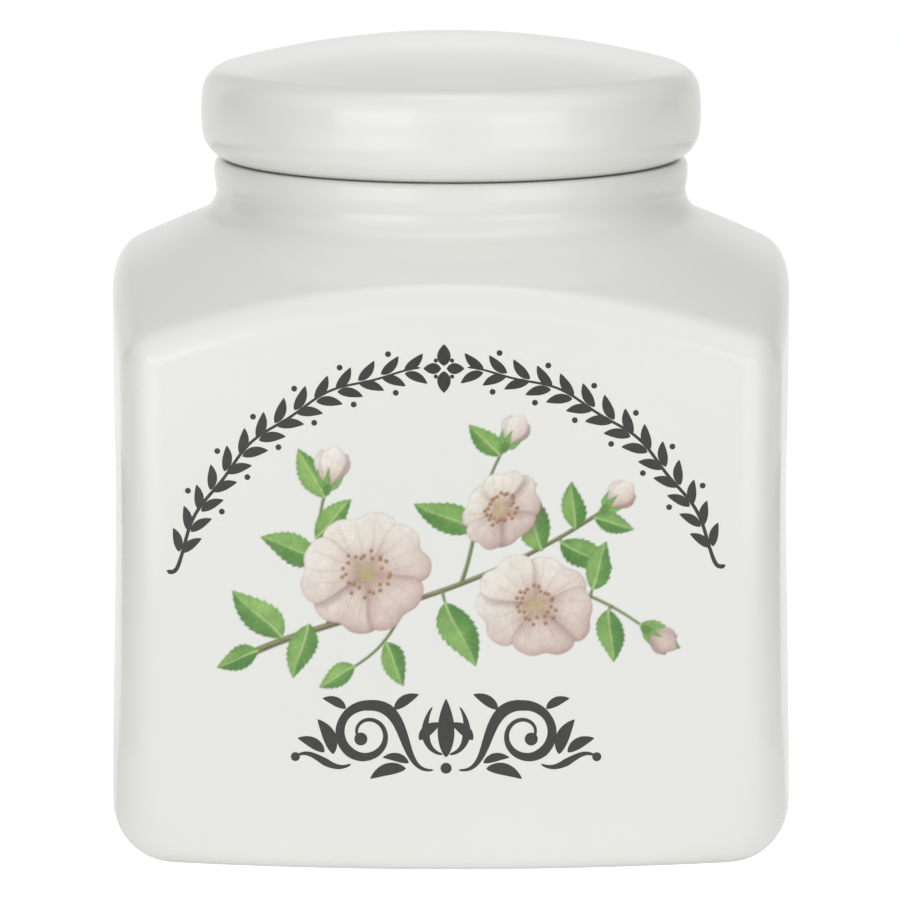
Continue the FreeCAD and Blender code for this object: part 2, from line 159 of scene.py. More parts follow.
def skin(theta, even, half_at, corner_at, base_at, floor, inset, crease, neck, cove, counts):
    """Rows of points from the wall's foot up to the neck. Crease: a ball rolled
    along between the wall and the shoulder."""
    sr, sz = shoulder_curve(inset)
    dr, dz = np.gradient(sr), np.gradient(sz)
    norm = np.hypot(dr, dz)
    nx, nz = -dz / norm, dr / norm
    in_r, in_z = sr - nx * crease, sz - nz * crease
    zc = np.full(len(theta), 94.0)
    for _ in range(16):
        w, n = outline(theta, half_at(zc), bow_of(zc), corner_at(zc))
        ball = w - n * crease
        rc = np.hypot(ball[:, 0], ball[:, 1])
        zc = np.interp(rc, in_r, in_z)
    rows = []
    w0, n0 = outline(theta, half_at(floor + 4), bow_of(floor + 4), corner_at(floor + 4))
    rb = base_at(w0)
    for a in np.radians(np.linspace(-90, 0, counts[0])):
        p = w0 - n0 * (rb * (1 - math.cos(a)))[:, None]
        rows.append(np.column_stack([p, floor + rb * (1 + math.sin(a))]))
    for f in np.linspace(0, 1, counts[1] + 2)[1:-1]:
        z = floor + rb + (zc - floor - rb) * f
        p, _ = outline(theta, half_at(z), bow_of(z), corner_at(z))
        rows.append(np.column_stack([p, z]))
    cx, cz = np.interp(rc, in_r, nx), np.interp(rc, in_r, nz)
    radial = ball / rc[:, None]
    start = np.column_stack([n, np.zeros(len(theta))])
    stop = np.column_stack([radial * cx[:, None], cz])
    full = np.arccos(np.clip((start * stop).sum(1), -1, 1))
    for f in np.linspace(0, 1, counts[2]):
        d = (np.sin((1 - f) * full) / np.sin(full))[:, None] * start + (np.sin(f * full) / np.sin(full))[:, None] * stop
        rows.append(np.column_stack([ball, zc]) + crease * d)
    # the shoulder, where the columns spread out evenly on their way to the neck
    az = np.arctan2(radial[:, 1], radial[:, 0])
    shift = (even - az + math.pi) % (2 * math.pi) - math.pi
    r_top = rc + crease * cx
    kx = neck + cove
    out_r, out_z = sr + nx * cove, sz + nz * cove
    kz = float(np.interp(kx, out_r, out_z))
    ux, uz = float(np.interp(kx, out_r, nx)), float(np.interp(kx, out_r, nz))
    r_start = kx - ux * cove
    for f in np.linspace(0, 1, counts[3] + 2)[1:-1]:
        r = r_top + (r_start - r_top) * f
        a = az + shift * smooth01(f)
        rows.append(np.column_stack([r * np.cos(a), r * np.sin(a), np.interp(r, sr, sz)]))
    a0 = math.atan2(-uz, -ux)
    a0 = a0 if a0 < 0 else a0 - 2 * math.pi
    for b in np.linspace(a0, -math.pi, counts[4]):
        r, z = kx + cove * math.cos(b), kz + cove * math.sin(b)
        rows.append(turned([(r, z)], even)[0])
    return np.array(rows)


def turned(profile, azimuths):
    """Rings of points for a profile of (r, z) turned about the axis."""
    profile = np.asarray(profile, float)
    r, z = profile[:, 0][:, None], profile[:, 1][:, None]
    return np.stack([r * np.cos(azimuths), r * np.sin(azimuths), np.repeat(z, len(azimuths), 1)], -1)


def ease(a, b, n, ends=(True, True)):
    """n points from a to b, evenly spaced, with or without its ends."""
    t = np.linspace(0, 1, n)
    t = t[(0 if ends[0] else 1) : (None if ends[1] else -1)]
    return np.array(a)[None] * (1 - t[:, None]) + np.array(b)[None] * t[:, None]


def arc(cx, cz, r, a0, a1, n):
    a = np.radians(np.linspace(a0, a1, n))
    return np.stack([cx + r * np.cos(a), cz + r * np.sin(a)], -1)


def mesh_object(name, verts, faces, mats, smooth=True):
    me = bpy.data.meshes.new(name)
    me.from_pydata(np.asarray(verts, float).tolist(), [], [tuple(int(i) for i in f) for f in faces])
    me.update()
    if smooth:
        me.shade_smooth()
    ob = bpy.data.objects.new(name, me)
    scene.collection.objects.link(ob)
    for m in mats:
        me.materials.append(m)
    return ob


def shell(name, rings, low, high, mats, bare=()):
    """A closed skin from rings of points, each of the same count, with a point at each end."""
    rings = np.asarray(rings)  # rows x columns x 3
    rows, cols, _ = rings.shape
    verts = np.vstack([rings.reshape(-1, 3), [low], [high]]) * MM
    faces, slots = [], []
    for i in range(rows - 1):
        for j in range(cols):
            k = (j + 1) % cols
            faces.append((i * cols + j, i * cols + k, (i + 1) * cols + k, (i + 1) * cols + j))
            slots.append(1 if i in bare else 0)
    first, last = rows * cols, rows * cols + 1
    for j in range(cols):
        k = (j + 1) % cols
        faces.append((first, k, j))
        slots.append(0)
        faces.append((last, (rows - 1) * cols + j, (rows - 1) * cols + k))
        slots.append(0)
    ob = mesh_object(name, verts, faces, mats)
    ob.data.polygons.foreach_set("material_index", slots)
    return ob


# ------------------------------------------------------------------ materials
class Nodes:
    """Short hands for building a material's nodes."""

    def __init__(self, name):
        self.mat = bpy.data.materials.new(name)
        self.mat.use_nodes = True
        self.tree = self.mat.node_tree
        self.tree.nodes.clear()
        self.out = self.add("ShaderNodeOutputMaterial")
        self.bsdf = self.add("ShaderNodeBsdfPrincipled")
        self.link(self.bsdf.outputs[0], self.out.inputs["Surface"])

    def add(self, kind, **values):
        n = self.tree.nodes.new(kind)
        for k, v in values.items():
            if hasattr(n, k):
                setattr(n, k, v)
            else:
                n.inputs[k.replace("_", " ")].default_value = v
        return n

    def link(self, a, b):
        self.tree.links.new(a, b)

    def coords(self):
        return self.add("ShaderNodeTexCoord").outputs["Object"]

    def noise(self, scale, detail=2.0, rough=0.5, where=None):
        n = self.add("ShaderNodeTexNoise")
        n.inputs["Scale"].default_value = scale
        n.inputs["Detail"].default_value = detail
        n.inputs["Roughness"].default_value = rough
        self.link(where or self.coords(), n.inputs["Vector"])
        return n.outputs["Fac"]

    def ramp(self, source, stops):
        n = self.add("ShaderNodeValToRGB")
        e = n.color_ramp.elements
        e[0].position, e[0].color = stops[0][0], (*stops[0][1], 1)
        e[1].position, e[1].color = stops[-1][0], (*stops[-1][1], 1)
        for p, c in stops[1:-1]:
            x = e.new(p)
            x.color = (*c, 1)
        self.link(source, n.inputs["Fac"])
        return n.outputs["Color"]

    def span(self, source, a, b, c, d):
        n = self.add("ShaderNodeMapRange")
        for k, v in zip(("From Min", "From Max", "To Min", "To Max"), (a, b, c, d)):
            n.inputs[k].default_value = v
        self.link(source, n.inputs["Value"])
        return n.outputs["Result"]

    def mix(self, fac, a, b, how="MIX"):
        n = self.add("ShaderNodeMix", data_type="RGBA", blend_type=how)
        for socket, v in (("Factor", fac), ("A", a), ("B", b)):
            s = [i for i in n.inputs if i.name == socket and i.enabled][0]
            if hasattr(v, "is_linked") or hasattr(v, "links"):
                self.link(v, s)
            else:
                s.default_value = v if socket == "Factor" else (*v, 1)
        return [o for o in n.outputs if o.enabled][0]

    def bump(self, height, strength, distance, normal=None):
        n = self.add("ShaderNodeBump")
        n.inputs["Strength"].default_value = strength
        n.inputs["Distance"].default_value = distance
        self.link(height, n.inputs["Height"])
        if normal is not None:
            self.link(normal, n.inputs["Normal"])
        return n.outputs["Normal"]


GLAZE = (0.795, 0.802, 0.765)
GLAZE_IOR = 1.56


def glaze_tone(m):
    """The white of the glaze, with a faint drift of tone."""
    return m.ramp(
        m.noise(18.0, 3.0, 0.55),
        [
            (0.30, (GLAZE[0] * 0.988, GLAZE[1] * 0.990, GLAZE[2] * 0.986)),
            (0.55, GLAZE),
            (0.78, (GLAZE[0] * 1.008, GLAZE[1] * 1.008, GLAZE[2] * 1.012)),
        ],
    )


def glaze_surface(m):
    """An even gloss with the slight ripple of a fired glaze."""
    m.link(m.span(m.noise(55.0, 3.0, 0.6), 0.3, 0.7, 0.075, 0.115), m.bsdf.inputs["Roughness"])
    ripple = m.bump(m.noise(38.0, 1.0, 0.4), 0.08, 0.0006)
    m.link(m.bump(m.noise(420.0, 2.0, 0.5), 0.04, 0.00006, ripple), m.bsdf.inputs["Normal"])
    m.bsdf.inputs["IOR"].default_value = GLAZE_IOR


def glazed(name):
    m = Nodes(name)
    m.link(glaze_tone(m), m.bsdf.inputs["Base Color"])
    glaze_surface(m)
    return m.mat


def painted(name):
    """On-glaze colours: the paint's own colour over the glaze's white."""
    m = Nodes(name)
    paint = m.add("ShaderNodeVertexColor", layer_name="paint")
    white = m.mix(paint.outputs["Alpha"], glaze_tone(m), (0, 0, 0))
    grain = m.ramp(m.noise(2600.0, 2.0, 0.6), [(0.3, (0.965, 0.965, 0.965)), (0.7, (1.03, 1.03, 1.03))])
    colour = m.mix(1.0, paint.outputs["Color"], grain, "MULTIPLY")
    m.link(m.mix(1.0, white, colour, "ADD"), m.bsdf.inputs["Base Color"])
    glaze_surface(m)
    return m.mat


def inked(name):
    """Charcoal decal line, fired in."""
    m = Nodes(name)
    tone = m.ramp(m.noise(900.0, 3.0, 0.6), [(0.3, (0.030, 0.030, 0.029)), (0.7, (0.040, 0.040, 0.038))])
    m.link(tone, m.bsdf.inputs["Base Color"])
    m.link(m.span(m.noise(300.0, 3.0, 0.6), 0.3, 0.7, 0.11, 0.17), m.bsdf.inputs["Roughness"])
    m.link(m.bump(m.noise(420.0, 2.0, 0.5), 0.04, 0.00006), m.bsdf.inputs["Normal"])
    m.bsdf.inputs["IOR"].default_value = GLAZE_IOR
    return m.mat


def bare(name):
    """Porcelain left without glaze, where the piece stood in the kiln."""
    m = Nodes(name)
    tone = m.ramp(
        m.noise(160.0, 5.0, 0.6), [(0.3, (0.70, 0.675, 0.63)), (0.5, (0.76, 0.74, 0.70)), (0.75, (0.80, 0.785, 0.75))]
    )
    m.link(tone, m.bsdf.inputs["Base Color"])
    m.link(m.span(m.noise(700.0, 4.0, 0.6), 0.3, 0.7, 0.55, 0.75), m.bsdf.inputs["Roughness"])
    m.link(m.bump(m.noise(1500.0, 4.0, 0.65), 0.35, 0.00008), m.bsdf.inputs["Normal"])
    return m.mat


def silicone(name):
    m = Nodes(name)
    tone = m.ramp(m.noise(90.0, 3.0, 0.5), [(0.3, (0.70, 0.72, 0.72)), (0.7, (0.80, 0.82, 0.82))])
    m.link(tone, m.bsdf.inputs["Base Color"])
    m.link(m.span(m.noise(350.0, 3.0, 0.6), 0.3, 0.7, 0.28, 0.42), m.bsdf.inputs["Roughness"])
    m.link(m.bump(m.noise(900.0, 3.0, 0.6), 0.2, 0.00005), m.bsdf.inputs["Normal"])
    m.bsdf.inputs["Subsurface Weight"].default_value = 0.35
    m.bsdf.inputs["Subsurface Radius"].default_value = (0.0018, 0.002, 0.002)
    m.bsdf.inputs["Subsurface Scale"].default_value = 1.0
    m.bsdf.inputs["IOR"].default_value = 1.42
    return m.mat


GLAZE_MAT = glazed("glazed_porcelain")
LID_MAT = glazed("lid_glazed_porcelain")
BARE_MAT = bare("bare_porcelain")
SEAL_MAT = silicone("clear_silicone")
PAINT_MAT = painted("fired_colours")
INK_MAT = inked("fired_charcoal")

# ------------------------------------------------------------------ jar mesh
COLS = 320
THETA = spread(COLS)
EVEN = np.arange(COLS) * 2 * math.pi / COLS


def base_round(w):
    """The rounding under the walls: tighter under a face's middle than at the corners."""
    across = np.minimum(np.abs(w[:, 0]), np.abs(w[:, 1]))
    return 5.0 + 5.0 * np.clip(across / 50.0, 0, 1) ** 2.0


outside = skin(THETA, EVEN, half_of, corner_of, base_round, 0.0, 0.0, CREASE_ROUND, NECK_R - 0.1, COVE, (14, 36, 16, 18, 14))
inside = skin(
    THETA,
    EVEN,
    lambda z: np.full(np.shape(z), HALF - WALL - 0.4),
    lambda z: np.full(np.shape(z), 6.5),
    lambda w: np.full(len(w), 5.6),
    FLOOR_Z,
    WALL,
    5.6,
    BORE_R,
    BORE_LIP,
    (9, 20, 10, 12, 10),
)
ring = outside[0]
recess = rounded_radius(THETA, FOOT_HALF, FOOT_CORNER)


def foot_row(grow, z, mix=0.0):
    r = recess + grow
    p = np.column_stack([r * np.cos(THETA), r * np.sin(THETA)])
    p = p * (1 - mix) + ring[:, :2] * mix
    return np.column_stack([p, np.full(COLS, z)])


def inner_disc(target, z, count):
    """Rows from a small circle out to a given row, on the flat."""
    rows = []
    for f in np.linspace(0, 1, count)[:-1]:
        small = 8.0 * np.column_stack([np.cos(THETA), np.sin(THETA)])
        rows.append(np.column_stack([small * (1 - f) + target[:, :2] * f, np.full(COLS, z)]))
    return rows


FE = 0.5
foot = inner_disc(foot_row(-FE - 1.5, FOOT_DEPTH), FOOT_DEPTH, 9) + [foot_row(-FE - 1.5, FOOT_DEPTH)]
for g, z in arc(-FE, FOOT_DEPTH - FE, FE, 90, 0, 5):
    foot.append(foot_row(g, z))
for g, z in arc(FE, FE, FE, 180, 270, 5):
    foot.append(foot_row(g, z))
for f in (0.25, 0.5, 0.75):
    foot.append(foot_row(FE, 0.0, f))
# the neck is very slightly fuller towards its rim
kz = outside[-1][0, 2]
neck_profile = []
for f in np.linspace(0, 1, 12)[1:]:
    z = kz + (RIM_Z - RIM_ROUND - kz) * f
    neck_profile.append((NECK_R - 0.1 + 0.38 * smooth01((z - 111.2) / 3.6) - 0.04 * smooth01((z - 115.2) / 1.5), z))
top_r = neck_profile[-1][0]
rim_profile = np.vstack(
    [
        arc(top_r - RIM_ROUND, RIM_Z - RIM_ROUND, RIM_ROUND, 0, 90, 8)[1:],
        ease((top_r - RIM_ROUND, RIM_Z), (BORE_R + RIM_ROUND, RIM_Z), 4, (False, False)),
        arc(BORE_R + RIM_ROUND, RIM_Z - RIM_ROUND, RIM_ROUND, 90, 180, 8),
        ease((BORE_R, RIM_Z - RIM_ROUND), (BORE_R, inside[-1][0, 2]), 6, (False, False)),
    ]
)
floor_rows = inner_disc(inside[0], FLOOR_Z, 9)[::-1]
BARE_ROWS = range(len(foot) - 4 - 4, len(foot) + 2)
rings = np.array(
    foot
    + list(outside)
    + list(turned(neck_profile, EVEN))
    + list(turned(rim_profile, EVEN))
    + list(inside[::-1])
    + floor_rows
)
jar = shell("jar_glazed_body", rings[:, ::-1], (0, 0, FOOT_DEPTH), (0, 0, FLOOR_Z), [GLAZE_MAT, BARE_MAT], BARE_ROWS)
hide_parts("jar_body")
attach(jar, "jar")

# ------------------------------------------------------------------ lid mesh
LID_R, LID_LOW, LID_UP, DOME = 44.2, 5.6, 5.0, 15.3
LID_SIDE = 128.8
BARREL, BARREL_Z = 30.0, 125.7
LID_WALL, LID_IN = 5.0, 3.0
PLUG_R, PLUG_IN, PLUG_D, PLUG_ROUND, SEAT_COVE = 34.4, 29.0, 14.0, 1.6, 0.9
GROOVE_R, GROOVE_TOP, GROOVE_H = 32.9, 3.0, 8.0
sl = math.radians(DOME)
ex, ez = LID_R - LID_UP + LID_UP * math.sin(sl), LID_SIDE + LID_UP * math.cos(sl)
DOME_R = ex / math.sin(sl)
TOP = ez + DOME_R * (1 - math.cos(sl))
dome_c = TOP - DOME_R
# the side is a shallow barrel, tangent to the rounds above and below it
side_c = (LID_R - BARREL, BARREL_Z)
low_t = math.asin((BARREL_Z - RIM_Z - LID_LOW) / (BARREL - LID_LOW))
low_c = (side_c[0] + (BARREL - LID_LOW) * math.cos(low_t), RIM_Z + LID_LOW)
ra, rb_ = BARREL - LID_UP, DOME_R - LID_UP
gx, gz = side_c[0], side_c[1] - dome_c
gap = math.hypot(gx, gz)
along_ = (rb_**2 - ra**2 + gap**2) / (2 * gap)
high_ = math.sqrt(rb_**2 - along_**2)
up_c = (gx / gap * along_ + gz / gap * high_, dome_c + gz / gap * along_ - gx / gap * high_)
up_t = math.degrees(math.atan2(up_c[1] - side_c[1], up_c[0] - side_c[0]))
dome_t = math.degrees(math.atan2(up_c[1] - dome_c, up_c[0]))
a_in = math.degrees(math.asin((LID_R - LID_WALL - LID_IN) / (DOME_R - LID_WALL)))
in_z = dome_c + (DOME_R - LID_WALL) * math.cos(math.radians(a_in))
foot_z = RIM_Z - PLUG_D
g_top, g_low = RIM_Z - GROOVE_TOP, RIM_Z - GROOVE_TOP - GROOVE_H
prof = np.vstack(
    [
        arc(0, dome_c, DOME_R, 90 - 1.2, dome_t, 24),
        arc(up_c[0], up_c[1], LID_UP, dome_t, up_t, 16)[1:],
        arc(side_c[0], side_c[1], BARREL, up_t, -math.degrees(low_t), 14)[1:],
        arc(low_c[0], low_c[1], LID_LOW, -math.degrees(low_t), -90, 16)[1:],
        ease((low_c[0], RIM_Z), (PLUG_R + SEAT_COVE, RIM_Z), 5, (False, False)),
        arc(PLUG_R + SEAT_COVE, RIM_Z - SEAT_COVE, SEAT_COVE, 90, 180, 6),
        [[PLUG_R, g_top + 0.25], [PLUG_R - 0.1, g_top + 0.05], [PLUG_R - 0.3, g_top]],
        [[GROOVE_R + 0.1, g_top], [GROOVE_R, g_top - 0.1]],
        ease((GROOVE_R, g_top - 0.1), (GROOVE_R, g_low + 0.1), 4, (False, True)),
        [[GROOVE_R + 0.1, g_low], [PLUG_R - 0.3, g_low], [PLUG_R - 0.1, g_low - 0.05], [PLUG_R, g_low - 0.25]],
        arc(PLUG_R - PLUG_ROUND, foot_z + PLUG_ROUND, PLUG_ROUND, 0, -90, 8),
        arc(PLUG_IN + PLUG_ROUND, foot_z + PLUG_ROUND, PLUG_ROUND, -90, -180, 8),
        ease((PLUG_IN, foot_z + PLUG_ROUND), (PLUG_IN, RIM_Z + LID_WALL - PLUG_ROUND), 7, (False, False)),
        arc(PLUG_IN + PLUG_ROUND, RIM_Z + LID_WALL - PLUG_ROUND, PLUG_ROUND, 180, 90, 8),
        arc(LID_R - LID_WALL - LID_IN, RIM_Z + LID_WALL + LID_IN, LID_IN, -90, 0, 8),
        arc(LID_R - LID_WALL - LID_IN, in_z - LID_IN, LID_IN, 0, 90 - a_in, 8),
        arc(0, dome_c, DOME_R - LID_WALL, 90 - a_in, 90 - 1.2, 18)[1:],
    ]
)
LCOLS = 288
lt = np.arange(LCOLS) * 2 * math.pi / LCOLS
foot_rows = [i for i in range(len(prof) - 1) if prof[i, 1] < foot_z + 0.35 and prof[i + 1, 1] < foot_z + 0.35]
lid = shell("lid_glazed", turned(prof, lt), (0, 0, TOP), (0, 0, TOP - LID_WALL), [LID_MAT, BARE_MAT], foot_rows)
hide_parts("lid")
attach(lid, "lid")

# ------------------------------------------------------------------ seal ring
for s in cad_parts["lid_gasket"].material_slots:
    s.material = SEAL_MAT

# ---------------------------------------------------------------- the painted spray
PX = 0.1  # mm a cell
X0, X1, Z0, Z1 = -41.0, 43.0, 30.0, 82.0
NX, NZ = int((X1 - X0) / PX), int((Z1 - Z0) / PX)


def value_noise(rng, cell, octaves=3):
    """Smooth noise over the painting, about -1 to 1, with lumps of that many millimetres."""
    total, weight = np.zeros((NZ, NX)), 0.0
    for o in range(octaves):
        step = cell / 2**o / PX
        gz, gx = int(NZ / step) + 4, int(NX / step) + 4
        grid = rng.uniform(-1, 1, (gz, gx))
        z, x = np.arange(NZ) / step, np.arange(NX) / step
        iz, ix = z.astype(int), x.astype(int)
        fz, fx = z - iz, x - ix
        fz, fx = fz * fz * (3 - 2 * fz), fx * fx * (3 - 2 * fx)
        a, b = grid[iz][:, ix], grid[iz][:, ix + 1]
        c, d = grid[iz + 1][:, ix], grid[iz + 1][:, ix + 1]
        v = (a * (1 - fx) + b * fx) * (1 - fz)[:, None] + (c * (1 - fx) + d * fx) * fz[:, None]
        total += v * 0.5**o
        weight += 0.5**o
    return total / weight * 1.6


class Canvas:
    def __init__(self, seed=7):
        self.rng = np.random.default_rng(seed)
        self.rgb = np.zeros((NZ, NX, 3))
        self.alpha = np.zeros((NZ, NX))
        self.coarse = value_noise(self.rng, 9.0, 3)
        self.fine = value_noise(self.rng, 1.6, 3)
        self.grain = value_noise(self.rng, 0.45, 2)
        self.xs = X0 + (np.arange(NX) + 0.5) * PX
        self.zs = Z0 + (np.arange(NZ) + 0.5) * PX

    def window(self, points, grow):
        lo, hi = points.min(0) - grow, points.max(0) + grow
        i0, i1 = max(int((lo[0] - X0) / PX), 0), min(int((hi[0] - X0) / PX) + 2, NX)
        j0, j1 = max(int((lo[1] - Z0) / PX), 0), min(int((hi[1] - Z0) / PX) + 2, NZ)
        x, z = np.meshgrid(self.xs[i0:i1], self.zs[j0:j1])
        return slice(j0, j1), slice(i0, i1), x, z

    def distance(self, points, x, z):
        """Signed distance to a closed outline, positive inside."""
        best = np.full(x.shape, 1e9)
        inside = np.zeros(x.shape, bool)
        nxt = np.roll(points, -1, 0)
        for (ax, az), (bx, bz) in zip(points, nxt):
            ex, ez = bx - ax, bz - az
            t = np.clip(((x - ax) * ex + (z - az) * ez) / (ex * ex + ez * ez + 1e-12), 0, 1)
            best = np.minimum(best, (x - ax - t * ex) ** 2 + (z - az - t * ez) ** 2)
            if az != bz:
                cross = ((az > z) != (bz > z)) & (x < ax + (z - az) * ex / ez)
                inside ^= cross
        d = np.sqrt(best)
        return np.where(inside, d, -d)

    def lay(self, rows, cols, cover, colour):
        """Paint over what is there."""
        a = np.clip(cover, 0, 1)
        old = self.alpha[rows, cols]
        out = a + old * (1 - a)
        safe = np.maximum(out, 1e-6)[..., None]
        self.rgb[rows, cols] = (colour * a[..., None] + self.rgb[rows, cols] * (old * (1 - a))[..., None]) / safe
        self.alpha[rows, cols] = out

    def shade(self, points, strength, soft, shift, colour=(0.50, 0.40, 0.38), only_on=True):
        """A soft shadow of an outline on the paint already laid."""
        p = points + np.array(shift)
        rows, cols, x, z = self.window(p, soft * 2)
        d = self.distance(p, x, z)
        a = strength * np.clip(0.5 + d / (2 * soft), 0, 1)
        if only_on:
            a = a * self.alpha[rows, cols]
        old = self.rgb[rows, cols]
        self.rgb[rows, cols] = old * (1 - a[..., None]) + np.array(colour) * a[..., None]

    def stroke(self, path, widths, colour, strength=1.0, soft=0.10, clip=None):
        """A brush line of changing width along a path."""
        path, widths = np.asarray(path, float), np.asarray(widths, float)
        rows, cols, x, z = self.window(path, widths.max() + 0.4)
        best = np.full(x.shape, -1e9)
        for (a, b), (wa, wb) in zip(zip(path[:-1], path[1:]), zip(widths[:-1], widths[1:])):
            e = b - a
            t = np.clip(((x - a[0]) * e[0] + (z - a[1]) * e[1]) / (e @ e + 1e-12), 0, 1)
            d = np.hypot(x - a[0] - t * e[0], z - a[1] - t * e[1])
            best = np.maximum(best, (wa + t * (wb - wa)) / 2 - d)
        a = strength * np.clip(0.5 + best / (2 * soft), 0, 1)
        if clip is not None:
            a = a * np.clip(0.5 + self.distance(clip, x, z) / 0.2, 0, 1)
        c = np.broadcast_to(np.array(colour, float), x.shape + (3,)) * (1 + 0.05 * self.fine[rows, cols][..., None])
        self.lay(rows, cols, a, c)


def bezier(p0, p1, p2, p3, n=24):
    t = np.linspace(0, 1, n)[:, None]
    p0, p1, p2, p3 = map(np.array, (p0, p1, p2, p3))
    return (1 - t) ** 3 * p0 + 3 * (1 - t) ** 2 * t * p1 + 3 * (1 - t) * t * t * p2 + t**3 * p3


def mixed(a, b, t):
    t = np.clip(t, 0, 1)[..., None]
    return np.array(a) * (1 - t) + np.array(b) * t


CREAM = (0.955, 0.925, 0.865)
IVORY = (0.975, 0.960, 0.925)
BLUSH = (0.875, 0.780, 0.735)
MAUVE = (0.715, 0.585, 0.560)
DUSK = (0.560, 0.430, 0.410)
LEAF = (0.455, 0.660, 0.330)
LIME = (0.640, 0.790, 0.450)
DEEP = (0.300, 0.510, 0.220)
STEM = (0.420, 0.540, 0.300)


def petal_outline(base, angle, length, width, notch, lean, rng, n=56):
    """An obovate petal with a shallow notch and a wavy edge."""
    t = np.linspace(0, 2 * math.pi, n, endpoint=False)
    u = 0.5 - 0.5 * np.cos(t)  # 0 at the base, 1 at the tip
    half = np.sin(math.pi * np.clip(u, 0, 1) ** 1.45) ** 0.62 * (0.40 + 0.60 * u)
    half /= half.max()
    side = np.where(t <= math.pi, 1.0, -1.0)
    v = side * half * width / 2
    wave = sum(
        rng.uniform(-1, 1) * np.cos(k * t + rng.uniform(0, 2 * math.pi)) / k**1.2 for k in range(2, 8)
    )
    long = u * length * (1 + 0.018 * wave)
    v = v * (1 + 0.05 * wave)
    long -= notch * length * np.exp(-((v / (0.16 * width)) ** 2)) * (u > 0.75) * (u - 0.75) * 4
    long_axis = np.array([math.cos(angle), math.sin(angle)])
    cross = np.array([-long_axis[1], long_axis[0]])
    bend = lean * (long / length) ** 2 * width
    return np.array(base) + long[:, None] * long_axis + (v + bend)[:, None] * cross


def petal(cv, base, angle, length, width, notch=0.10, lean=0.0, light=0.0, squeeze=1.0, tilt=0.0):
    """One petal: ivory tip, blush throat, fine veins, and a shaded side away from the light."""
    rng = cv.rng
    pts = petal_outline((0, 0), angle, length, width, notch, lean, rng)
    c, s = math.cos(tilt), math.sin(tilt)
    turn = np.array([[c, s], [-s, c]])
    flat = np.array([[1, 0], [0, squeeze]])
    warp = turn.T @ flat @ turn
    back = np.linalg.inv(warp)
    pts = pts @ warp.T + np.array(base)
    cv.shade(pts, 0.46, 0.85, (0.40, -0.55))
    rows, cols, x, z = cv.window(pts, 0.6)
    d = cv.distance(pts, x, z)
    loc = np.stack([x - base[0], z - base[1]], -1) @ back.T
    ax = np.array([math.cos(angle), math.sin(angle)])
    u = (loc @ ax) / length
    v = (loc @ np.array([-ax[1], ax[0]])) / (width / 2)
    fine, coarse, grain = cv.fine[rows, cols], cv.coarse[rows, cols], cv.grain[rows, cols]
    body = mixed(CREAM, IVORY, 0.25 + 0.75 * u + 0.25 * coarse)
    throat = np.exp(-((u / 0.42) ** 2)) * 0.95
    body = body * (1 - throat[..., None]) + np.array(BLUSH) * throat[..., None]
    deep = np.exp(-((u / 0.21) ** 2)) * 0.85
    body = body * (1 - deep[..., None]) + np.array(MAUVE) * deep[..., None]
    # the side that turns from the light
    lit = ax[0] * -0.55 + ax[1] * 0.83
    across = (v * (ax[1] * -0.55 + ax[0] * -0.83)) * 1.0
    form = np.clip(0.36 - 0.40 * lit + 0.42 * across + 0.16 * coarse, 0, 1) * (0.35 + 0.65 * np.clip(u, 0, 1))
    body = body * (1 - 0.78 * form[..., None]) + np.array(BLUSH) * (0.78 * form[..., None])
    edge_dusk = np.exp(-np.maximum(d, 0) / 1.25) * np.clip(0.42 - 0.60 * lit + 0.55 * across, 0, 1)
    body = body * (1 - 0.72 * edge_dusk[..., None]) + np.array(MAUVE) * (0.72 * edge_dusk[..., None])
    # veins fan out of the throat
    fan = np.arctan2(v * 0.9, np.maximum(u, 0.02) + 0.12) * 13.0 + 0.8 * fine
    vein = np.clip(np.cos(fan) - 0.72, 0, 1) / 0.28 * np.clip(1.05 - u, 0, 1) * np.clip(u * 6, 0, 1)
    body = body * (1 - 0.34 * vein[..., None]) + np.array(MAUVE) * (0.34 * vein[..., None])
    # a lighter rolled lip
    lip = np.exp(-(((d - 0.55) / 0.38) ** 2)) * np.clip(u - 0.35, 0, 1) * 1.3 * np.clip(0.55 + 0.6 * lit - 0.5 * across, 0, 1)
    body = body * (1 - 0.6 * np.clip(lip, 0, 1)[..., None]) + np.array((0.99, 0.98, 0.955)) * (0.6 * np.clip(lip, 0, 1)[..., None])
    pool = np.exp(-np.maximum(d, 0) / 0.16) * 0.30
    body = body * (1 - pool[..., None]) + np.array(MAUVE) * pool[..., None]
    body = body * (1 + 0.018 * grain + 0.02 * fine + light)[..., None]
    cv.lay(rows, cols, np.clip(0.5 + d / 0.16, 0, 1), body)
    return pts


